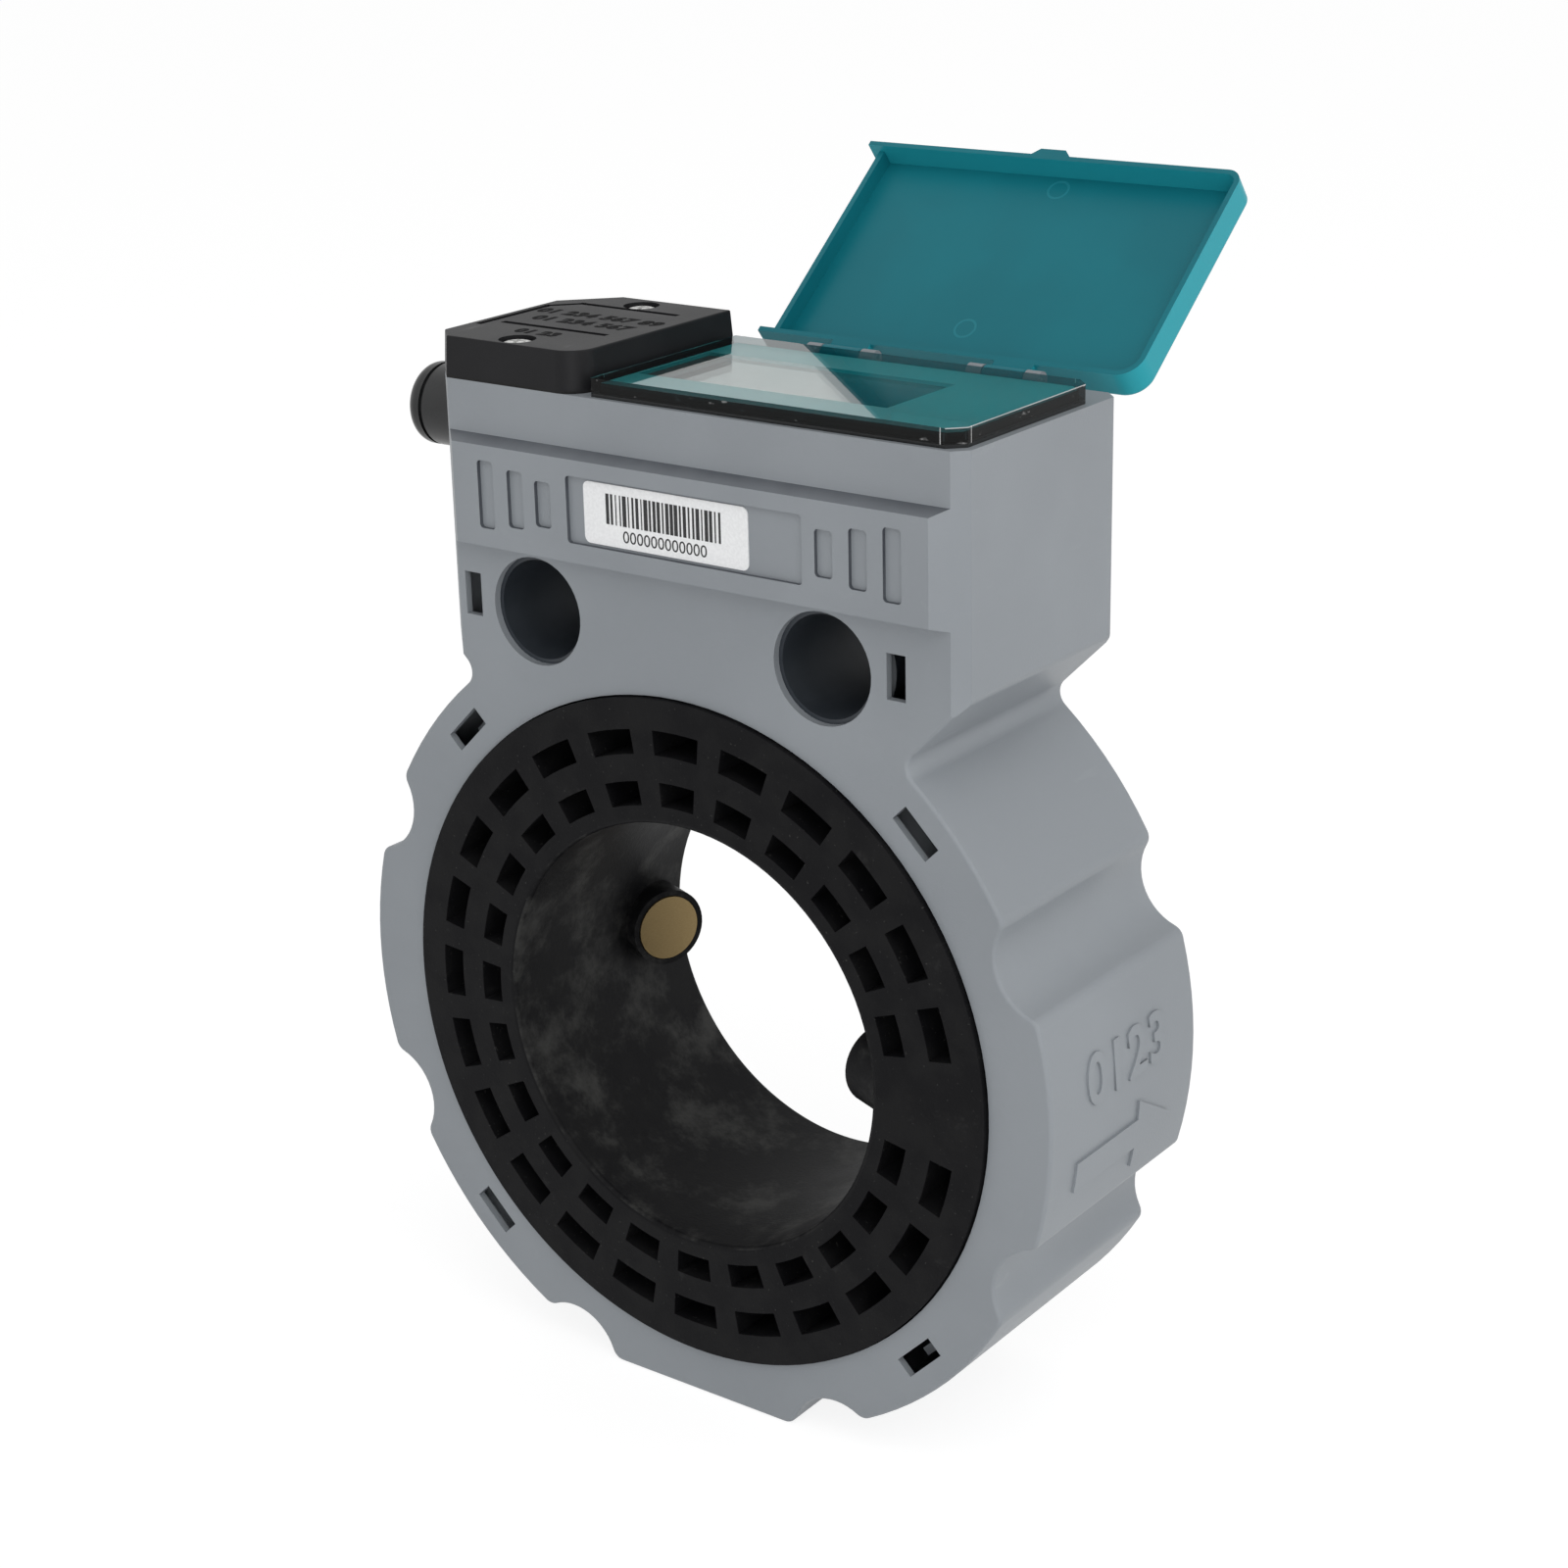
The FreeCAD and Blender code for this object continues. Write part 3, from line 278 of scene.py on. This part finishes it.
plastics = dict(
    greyShell=dict(dark=colour(136, 141, 146), light=colour(142, 147, 152), worn=colour(154, 159, 163),
                   grain=0.00035, cloud=0.05, rub=0.15, relief=0.00003, rough=0.46, specular=0.4,
                   # The tone of the painted shade on the band's ledge and pocket walls; band gives where it
                   # falls
                   paintedShade=colour(62, 66, 73),
                   band=dict(back=0.0012, low=0.0854, ledge=0.1029, high=0.1047, left=-0.0475, right=0.0520,
                             wall=0.3, slope=0.6, least=0.6, cloud=0.006, fade=0.3)),
    blackTube=dict(dark=colour(16, 16, 18), light=colour(24, 24, 25), worn=colour(48, 48, 48),
                   grain=0.0006, cloud=0.008, rub=0.4, relief=0.00004, rough=0.5, specular=0.08,
                   dust=dict(tone=colour(84, 84, 82), bore=0.0405, patch=0.014, patches=0.5, speck=0.0007,
                             specks=0.35)),
    sleeveBlack=dict(dark=colour(46, 51, 57), light=colour(51, 56, 62), worn=colour(66, 70, 76),
                     grain=0.0004, cloud=0.006, rub=0.2, relief=0.00001, rough=0.4, specular=0.4),
    coverBlack=dict(dark=colour(25, 25, 27), light=colour(29, 29, 31), worn=colour(46, 46, 48),
                    grain=0.0003, cloud=0.02, rub=0.15, relief=0.00002, rough=0.5, specular=0.16),
    caseBlack=dict(dark=colour(22, 24, 25), light=colour(29, 31, 32), worn=colour(42, 44, 45),
                   grain=0.0004, cloud=0.01, rub=0.1, relief=0.00001, rough=0.35, specular=0.3),
    sensorBlack=dict(dark=colour(24, 24, 25), light=colour(32, 32, 33), worn=colour(52, 52, 52),
                     grain=0.0004, cloud=0.005, rub=0.2, relief=0.00002, rough=0.45, specular=0.3),
    glandBlack=dict(dark=colour(23, 24, 25), light=colour(29, 30, 31), worn=colour(48, 48, 50),
                    grain=0.0004, cloud=0.008, rub=0.2, relief=0.00002, rough=0.3, specular=0.4),
    sealRubber=dict(dark=colour(22, 22, 22), light=colour(30, 30, 30), worn=colour(42, 42, 42),
                    grain=0.0005, cloud=0.006, rub=0.2, relief=0.00002, rough=0.7, specular=0.2),
    terminalGreen=dict(dark=colour(30, 110, 60), light=colour(36, 124, 70), worn=colour(70, 150, 100),
                       grain=0.0004, cloud=0.006, rub=0.1, relief=0.00001, rough=0.4, specular=0.5),
    cellWrap=dict(dark=colour(70, 110, 60), light=colour(82, 124, 70), worn=colour(120, 150, 110),
                  grain=0.0006, cloud=0.01, rub=0.2, relief=0.00001, rough=0.25, specular=0.5),
    boardGreen=dict(dark=colour(18, 76, 40), light=colour(24, 90, 48), worn=colour(60, 120, 80),
                    grain=0.0004, cloud=0.004, rub=0.1, relief=0.00002, rough=0.4, specular=0.5),
)


# The lid: dyed through, with a painted sheen that makes its walls lighter, and two faint round ejector
# marks inside
lidLook = dict(dark=colour(14, 110, 122), light=colour(17, 116, 128), cloud=0.025, grain=0.0004,
               # edge is the tone of the painted sheen on the lid's walls
               edge=colour(36, 156, 169), lean=(-0.625, 0.781), wall=0.3, inner=0.5,
               mark=colour(44, 140, 152), marks=((0.0209, 0.0898, 0.1387), (0.0178, 0.0637, 0.1178)),
               markSize=0.0022, markLine=0.8, markShare=0.5, markRelief=2.0, cloudRelief=0.5,
               relief=0.00001, rough=0.4, change=0.12, index=1.5, specular=0.2)


def tealLid(look):
    finish = Finish("tealLid", {"IOR": look["index"], "Specular IOR Level": look["specular"]})
    cloud = finish.noise(look["cloud"])
    grain = finish.noise(look["grain"], detail=2.0)
    tone = finish.blend(cloud.step(low=0.3, high=0.7), look["dark"], look["light"])
    across = finish.facing("Y") * look["lean"][0] + finish.facing("Z") * look["lean"][1]
    rings = 0.0
    for mark in look["marks"]:
        ends = {0: finish.where(), 1: mark}
        away = finish.node("ShaderNodeVectorMath", {"operation": "DISTANCE"}, ends, "Value")
        rings = rings + (away < look["markSize"]) * (away > look["markSize"] * look["markLine"])
    rings = rings * (across > look["inner"])
    tone = finish.blend(rings * look["markShare"], tone, look["mark"])
    # Painted sheen: the walls, apart from the inside of the left wall, take the lighter edge tone
    leftWall = (finish.facing("X") > look["inner"]) * (finish.spot("X") < 0.0)
    tone = finish.blend((across * across < look["wall"]) * (1 - leftWall), tone, look["edge"])
    finish.relief(grain + look["cloudRelief"] * cloud + rings * look["markRelief"], look["relief"])
    return finish.set({"Base Color": tone, "Roughness": look["rough"] + cloud.swing(look["change"])})


# Print under the clear cover
printLook = dict(ink=colour(24, 134, 138), edge=colour(22, 128, 132), cloud=0.02, dots=0.0003,
                 relief=0.000004, rough=0.3, change=0.05, specular=0.3)


def tealPrint(look):
    finish = Finish("tealPrint", {"Specular IOR Level": look["specular"]})
    dots = finish.cells(look["dots"])
    cloud = finish.noise(look["cloud"])
    tone = finish.blend(cloud.step(low=0.3, high=0.7), look["edge"], look["ink"])
    finish.relief(dots, look["relief"])
    return finish.set({"Base Color": tone, "Roughness": look["rough"] + dots.swing(look["change"])})


# Liquid crystal panel in the window of the print
panelLook = dict(dark=colour(44, 46, 45), light=colour(48, 50, 49), cloud=0.03, rough=0.014, change=0.006,
                 index=1.5, specular=0.5)


def panelGlass(look):
    finish = Finish("panelGlass", {"IOR": look["index"], "Specular IOR Level": look["specular"]})
    cloud = finish.noise(look["cloud"], detail=2.0)
    tone = finish.blend(cloud.step(low=0.3, high=0.7), look["dark"], look["light"])
    return finish.set({"Base Color": tone, "Roughness": look["rough"] + cloud.swing(look["change"])})


# Clear cover: what is under it shows, and its faces mirror a share of what is round it. Its walls get a
# painted shade, and painted highlights as light lines along the edges and fine specks
clearLook = dict(top=(0.93, 0.97, 0.965, 1.0), side=(0.2, 0.24, 0.25, 1.0), flat=0.25, wall=0.5, index=1.49,
                 share=0.75, sideShare=0.35, rim=0.00018, corner=0.0035, backCorner=0.25, line=0.00009,
                 lines=0.4, speck=0.0012, specks=0.18, speckStretch=(0.5, 0.5, 1.0),
                 haze=0.016, rough=0.012, change=0.008,
                 dull=colour(246, 250, 250), bright=colour(255, 255, 255))


def clearCover(look):
    finish = Finish("clearCover", {"Metallic": 1.0})
    low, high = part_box("display_window")
    facingZ = finish.facing("Z")
    flat = facingZ * facingZ > look["flat"]
    right = finish.facing("X") > look["wall"]
    front = finish.facing("Y") < -look["wall"]

    def line(axis, place):
        away = finish.spot(axis) - place
        return (away < look["line"]) * (away > -look["line"])

    # Painted highlights: light lines along the walls' top edge and corners, drawn as extra mirroring
    lines = (right * (finish.spot("Z") > high.z - look["rim"]) + right * line("Y", low.y + look["corner"])
             + right * line("Y", high.y - look["corner"] * look["backCorner"])
             + front * line("X", high.x - look["corner"]))
    # Painted glints: fine light specks on the walls, drawn as extra mirroring
    specks = finish.noise(look["speck"], detail=2.0, stretch=look["speckStretch"])
    specks = specks.step(low=0.66, high=0.76) * look["specks"]
    # Painted shade: the walls are seen through a dark tint, the top through a nearly clear one
    side = finish.node("ShaderNodeBsdfTransparent", {}, {"Color": look["side"]})
    top = finish.node("ShaderNodeBsdfTransparent", {}, {"Color": look["top"]})
    leaving = finish.node("ShaderNodeNewGeometry", output="Backfacing")
    index = leaving * (1 / look["index"] - look["index"]) + look["index"]
    mirror = finish.node("ShaderNodeFresnel", {}, {"IOR": index})
    # Painted shade: the walls mirror a smaller share than the top
    share = flat * (look["share"] - look["sideShare"]) + look["sideShare"]
    haze = finish.noise(look["haze"], detail=2.0)
    smear = finish.blend(haze.step(low=0.35, high=0.65), look["dull"], look["bright"])
    finish.set({"Base Color": smear, "Roughness": look["rough"] + haze * look["change"]})
    mirrored = mirror * share + (lines * look["lines"] + specks) * (1 - flat)
    return finish.close(finish.mixed(mirrored, finish.mixed(flat, side, top), finish.plain))


# Metals with fine brush lines
brushing = dict(stretch=(1.0, 1.0, 8.0), spots=0.0015, relief=0.000006, lineRough=0.2, spotRough=0.1)
metals = dict(
    steel=dict(base=colour(188, 188, 186), other=colour(214, 214, 212), rough=0.3, grain=0.0006,
               metallic=1.0),
    zinc=dict(base=colour(206, 206, 204), other=colour(226, 226, 224), rough=0.36, grain=0.0006,
              metallic=0.35),
    brass=dict(base=colour(148, 127, 90), other=colour(164, 143, 102), rough=0.42, grain=0.0005,
               metallic=1.0),
)


def brushedMetal(name, look):
    finish = Finish(name, {"Metallic": look["metallic"]})
    lines = finish.noise(look["grain"], detail=3.0, roughness=0.6, stretch=brushing["stretch"])
    spots = finish.noise(brushing["spots"])
    tone = finish.blend(lines.step(low=0.3, high=0.7), look["base"], look["other"])
    finish.relief(lines, brushing["relief"])
    rough = look["rough"] + lines.swing(brushing["lineRough"]) + spots.swing(brushing["spotRough"])
    return finish.set({"Base Color": tone, "Roughness": rough})


# Paper of the label
paperLook = dict(dark=colour(236, 237, 238), light=colour(244, 245, 246), fibre=0.0005, relief=0.000004,
                 rough=0.42, change=0.1)


def paperLabel(look):
    finish = Finish("paperLabel", {})
    fibre = finish.noise(look["fibre"])
    tone = finish.blend(fibre.step(low=0.3, high=0.7), look["dark"], look["light"])
    finish.relief(fibre, look["relief"])
    return finish.set({"Base Color": tone, "Roughness": look["rough"] + fibre.swing(look["change"])})


# Ink on the label, and black paint on the terminal cover
inking = dict(fibre=0.0004, rough=0.6, change=0.1)
inks = dict(
    ink=dict(dark=colour(22, 22, 24), light=colour(48, 48, 50), specular=0.5),
    paint=dict(dark=colour(7, 7, 8), light=colour(12, 12, 13), specular=0.02),
)


def blackInk(name, look):
    finish = Finish(name, {"Specular IOR Level": look["specular"]})
    fibre = finish.noise(inking["fibre"], detail=2.0)
    tone = finish.blend(fibre.step(low=0.4, high=0.8), look["dark"], look["light"])
    return finish.set({"Base Color": tone, "Roughness": inking["rough"] + fibre.swing(inking["change"])})


finishes = {name: mouldedPlastic(name, look) for name, look in plastics.items()}
finishes.update({name: brushedMetal(name, look) for name, look in metals.items()})
finishes.update({name: blackInk(name, look) for name, look in inks.items()})
finishes["tealLid"] = tealLid(lidLook)
finishes["tealPrint"] = tealPrint(printLook)
finishes["panelGlass"] = panelGlass(panelLook)
finishes["clearCover"] = clearCover(clearLook)
finishes["paper"] = paperLabel(paperLook)

wears = dict(
    greyShell=["front_shell", "rear_shell"],
    blackTube=["measuring_tube"],
    sleeveBlack=["bolt_sleeve_left", "bolt_sleeve_right"],
    sensorBlack=["transducer_left", "transducer_right"],
    sealRubber=["transducer_seal_left", "transducer_seal_right", "terminal_gasket", "gland_seal"],
    brass=["transducer_face_left", "transducer_face_right"],
    caseBlack=["display_case", "display_bezel", "battery_cradle"],
    boardGreen=["main_board"],
    steel=["board_screws", "hinge_pins"],
    zinc=["cover_screws"],
    panelGlass=["display_panel"],
    tealPrint=["display_overlay"],
    clearCover=["display_window"],
    cellWrap=["battery"],
    terminalGreen=["terminal_block"],
    coverBlack=["terminal_cover"],
    glandBlack=["gland_body", "gland_nut", "gland_locknut"],
    paper=["label"],
    tealLid=["lid"],
)
for finishName, members in wears.items():
    for member in members:
        for materialSlot in nodes[member].material_slots:
            materialSlot.material = finishes[finishName]
print("finishes on", sum(len(members) for members in wears.values()), "nodes")


# Helpers for added pieces
def newPiece(name, mesh, body, finishName):
    mesh.materials.clear()
    mesh.materials.append(finishes[finishName])
    piece = addObject(name, mesh)
    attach(piece, body)
    return piece


def textMesh(words, height, thickness, spacing=1.0, bold=0.0):
    curve = bpy.data.curves.new("words", "FONT")
    curve.body = words
    curve.size = height
    curve.extrude = thickness / 2
    curve.space_character = spacing
    curve.offset = bold
    curve.align_x = "CENTER"
    curve.align_y = "CENTER"
    curve.resolution_u = 4
    holder = addObject("words", curve)
    mesh = bakedMesh(holder)
    bpy.data.objects.remove(holder)
    bpy.data.curves.remove(curve)
    return mesh


# Bars of uneven width along a line on the label, by nodes, with plain digits under them
barLook = dict(left=-0.0120, right=0.0118, top=0.0981, bottom=0.0928, count=27, narrow=0.0002, wide=0.00085,
               seed=7, thick=0.00003, digits="000000000000", digitHeight=0.0030, digitMiddle=0.0909,
               digitX=0.0001)


def barTree():
    group = bpy.data.node_groups.new("bars", "GeometryNodeTree")
    face = group.interface
    face.new_socket("Geometry", in_out="INPUT", socket_type="NodeSocketGeometry")
    sockets = dict(Count="Int", Left="Float", Right="Float", Middle="Float", Height="Float", Depth="Float",
                   Front="Float", Narrow="Float", Wide="Float", Seed="Int", Ink="Material")
    for name, kind in sockets.items():
        face.new_socket(name, in_out="INPUT", socket_type="NodeSocket" + kind)
    face.new_socket("Geometry", in_out="OUTPUT", socket_type="NodeSocketGeometry")
    tree = Tree(group)

    def given(name):
        return tree.node("NodeGroupInput", output=name)

    def vector(x, y, z):
        return tree.node("ShaderNodeCombineXYZ", {}, {"X": x, "Y": y, "Z": z})

    start = vector(given("Left"), given("Front"), given("Middle"))
    end = vector(given("Right"), given("Front"), given("Middle"))
    line = tree.node("GeometryNodeMeshLine", {"mode": "END_POINTS"},
                     {"Count": given("Count"), "Start Location": start, "Offset": end}, "Mesh")
    size = vector(1.0, given("Depth"), given("Height"))
    bar = tree.node("GeometryNodeMeshCube", {}, {"Size": size}, "Mesh")
    # Random Value takes its numbers at 2 and 3, and gives one at 1
    width = tree.node("FunctionNodeRandomValue", {"data_type": "FLOAT"},
                      {2: given("Narrow"), 3: given("Wide"), "Seed": given("Seed")}, 1)
    bars = tree.node("GeometryNodeInstanceOnPoints", {},
                     {"Points": line, "Instance": bar, "Scale": vector(width, 1.0, 1.0)})
    real = tree.node("GeometryNodeRealizeInstances", {}, {0: bars})
    inked = tree.node("GeometryNodeSetMaterial", {}, {"Geometry": real, "Material": given("Ink")})
    tree.put(group.nodes.new("NodeGroupOutput").inputs[0], inked)
    return group


def bakeTree(tree, values):
    holder = addObject("holder", bpy.data.meshes.new("holder"))
    modifier = holder.modifiers.new("made", "NODES")
    modifier.node_group = tree
    for item in tree.interface.items_tree:
        if item.in_out == "INPUT" and item.name in values:
            modifier[item.identifier] = values[item.name]
    mesh = bakedMesh(holder)
    holder.modifiers.clear()
    bpy.data.objects.remove(holder)
    return mesh


def labelPrint(look):
    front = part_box("label")[0].y
    values = {"Count": look["count"], "Left": look["left"], "Right": look["right"],
              "Middle": (look["top"] + look["bottom"]) / 2, "Height": look["top"] - look["bottom"],
              "Depth": look["thick"] * 2, "Front": front, "Narrow": look["narrow"], "Wide": look["wide"],
              "Seed": look["seed"], "Ink": finishes["ink"]}
    newPiece("label_bars", bakeTree(barTree(), values), "body", "ink")
    digits = textMesh(look["digits"], look["digitHeight"], look["thick"] * 2)
    upright = Matrix.Rotation(math.radians(90), 4, "X")
    digits.transform(Matrix.Translation((look["digitX"], front, look["digitMiddle"])) @ upright)
    newPiece("label_digits", digits, "body", "ink")


labelPrint(barLook)
print("label printed")


# Rows of plain digits on the black cover: words, height and middle in x and y
coverLook = dict(rows=(("01 234 567 89", 0.0043, -0.0355, 0.0272),
                       ("01 234 567", 0.0043, -0.0350, 0.0216),
                       ("01 23", 0.0038, -0.0362, 0.0112)),
                 thick=0.00006, bold=0.00024, spacing=1.1)


def coverDigits(look):
    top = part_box("terminal_cover")[1].z
    for number, (words, height, x, y) in enumerate(look["rows"]):
        mesh = textMesh(words, height, look["thick"], look["spacing"], look["bold"])
        mesh.transform(Matrix.Translation((x, y, top)))
        newPiece("cover_digits_%d" % (number + 1), mesh, "body", "paint")


coverDigits(coverLook)
print("cover digits printed")


# Plain digits raised on the right lobe, bent round the rim
lobeLook = dict(digits="0123", height=0.0126, middle=0.0256, level=0.0056, rim=0.0752, proud=0.0004,
                sunk=0.0004, bold=0.0003, spacing=1.06)


def lobeDigits(look):
    thickness = look["proud"] + look["sunk"]
    mesh = textMesh(look["digits"], look["height"], thickness, look["spacing"], look["bold"])
    for vertex in mesh.vertices:
        along, high, out = vertex.co
        angle = (look["level"] + high) / look["rim"]
        radius = look["rim"] + look["proud"] - thickness / 2 + out
        vertex.co = (radius * math.cos(angle), look["middle"] + along, radius * math.sin(angle))
    newPiece("lobe_digits", mesh, "body", "greyShell")


lobeDigits(lobeLook)
print("lobe digits raised")


# Two pan-head screws with a cross recess, in place of the plain heads
screwLook = dict(steps=48, rings=10, dome=0.0004, profile=3.0, merge=0.000001, cross=0.0030,
                 crossWidth=0.0007, crossDepth=0.0007, turns=(20, 110), smooth=0.3)


def domedHead(look, radius):
    shape = bmesh.new()
    height = look["dome"]
    outline = []
    for ring in range(look["rings"] + 1):
        share = ring / look["rings"]
        outline.append(shape.verts.new((radius * share, 0, height * (1 - share ** look["profile"]))))
    outline.append(shape.verts.new((radius, 0, -height)))
    outline.append(shape.verts.new((0, 0, -height)))
    edges = [shape.edges.new(ends) for ends in zip(outline, outline[1:])]
    bmesh.ops.spin(shape, geom=outline + edges, cent=(0, 0, 0), axis=(0, 0, 1), angle=2 * math.pi,
                   steps=look["steps"])
    bmesh.ops.remove_doubles(shape, verts=shape.verts, dist=look["merge"])
    bmesh.ops.recalc_face_normals(shape, faces=shape.faces)
    return addObject("head", meshOf("head", shape))


def crossCutter(look, turn):
    shape = bmesh.new()
    bmesh.ops.create_cube(shape, size=1.0)
    size = (look["cross"], look["crossWidth"], look["crossDepth"] * 2)
    bmesh.ops.scale(shape, verts=shape.verts, vec=size)
    bmesh.ops.rotate(shape, verts=shape.verts, matrix=Matrix.Rotation(math.radians(turn), 3, "Z"))
    bmesh.ops.translate(shape, verts=shape.verts, vec=(0, 0, look["dome"]))
    return addObject("cutter", meshOf("cutter", shape))


def crossScrew(look, radius):
    head = domedHead(look, radius)
    cutters = [crossCutter(look, turn) for turn in look["turns"]]
    for cutter in cutters:
        boolean = head.modifiers.new("cross", "BOOLEAN")
        boolean.operation = "DIFFERENCE"
        boolean.object = cutter
    mesh = bakedMesh(head)
    for holder in [head] + cutters:
        bpy.data.objects.remove(holder)
    for polygon in mesh.polygons:
        polygon.use_smooth = polygon.normal.z > look["smooth"]
    return mesh


def coverScrews(look):
    low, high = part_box("cover_screws")
    radius = (high.x - low.x) / 2
    made = []
    for end, y in (("front", low.y + radius), ("back", high.y - radius)):
        mesh = crossScrew(look, radius)
        mesh.transform(Matrix.Translation(((low.x + high.x) / 2, y, high.z - look["dome"])))
        made.append(newPiece("cover_screw_" + end, mesh, "body", "zinc"))
    return made


for screw in coverScrews(screwLook):
    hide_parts("cover_screws")
print("screws made")


# Floor, backdrop and light
stageLook = dict(size=4.0, floor=(0.86, 0.86, 0.86, 1.0), rough=0.9, specular=0.0, whiten=0.66,
                 white=(1.0, 1.0, 1.0, 1.0), glow=1.26, world=0.52)


def plainFloor(look):
    shape = bmesh.new()
    bmesh.ops.create_grid(shape, x_segments=1, y_segments=1, size=look["size"])
    mesh = meshOf("floor", shape)
    mesh.transform(Matrix.Translation((0, 0, cadLow.z)))
    finish = Finish("floor", {"Base Color": look["floor"], "Roughness": look["rough"],
                              "Specular IOR Level": look["specular"]})
    rays = (finish.node("ShaderNodeLightPath", output="Is Camera Ray")
            + finish.node("ShaderNodeLightPath", output="Is Glossy Ray")
            + finish.node("ShaderNodeLightPath", output="Is Transmission Ray"))
    glow = finish.node("ShaderNodeEmission", {}, {"Color": look["white"], "Strength": look["glow"]})
    whitened = rays.math("MINIMUM", rays, 1.0) * look["whiten"]
    mesh.materials.append(finish.close(finish.mixed(whitened, finish.plain, glow)))
    floor = addObject("floor", mesh)


def paleWorld(look):
    world = bpy.data.worlds.new("studio")
    bpy.context.scene.world = world
    world.use_nodes = True
    tree = Tree(world.node_tree)
    seen = tree.node("ShaderNodeLightPath", output="Is Camera Ray")
    mirrored = tree.node("ShaderNodeLightPath", output="Is Glossy Ray")
    strength = seen.math("MAXIMUM", seen, mirrored) * (1 - look["world"]) + look["world"]
    ground = world.node_tree.nodes["Background"]
    tree.put(ground.inputs["Color"], look["white"])
    tree.put(ground.inputs["Strength"], strength)


lampAim = (0, 0.025, 0.03)
lamps = dict(
    key=dict(place=(0.6, -0.55, 1.05), size=0.9, power=3.9),
    side=dict(place=(1.1, 0.3, 0.4), size=0.8, power=2.8),
    low=dict(place=(0.56, -0.86, 0.12), size=0.5, power=2.5),
    left=dict(place=(-1.0, -0.5, 0.5), size=0.8, power=0.3),
)


def softLamp(name, look):
    data = bpy.data.lights.new(name, "AREA")
    data.shape = "SQUARE"
    data.size = look["size"]
    data.energy = look["power"]
    lamp = addObject(name, data)
    lamp.location = look["place"]
    aim = Vector(lampAim) - Vector(look["place"])
    lamp.rotation_euler = aim.to_track_quat("-Z", "Y").to_euler()


plainFloor(stageLook)
paleWorld(stageLook)
for lampName, lampLook in lamps.items():
    softLamp(lampName, lampLook)
bpy.context.scene.view_settings.view_transform = "Standard"
print("stage and lamps set")
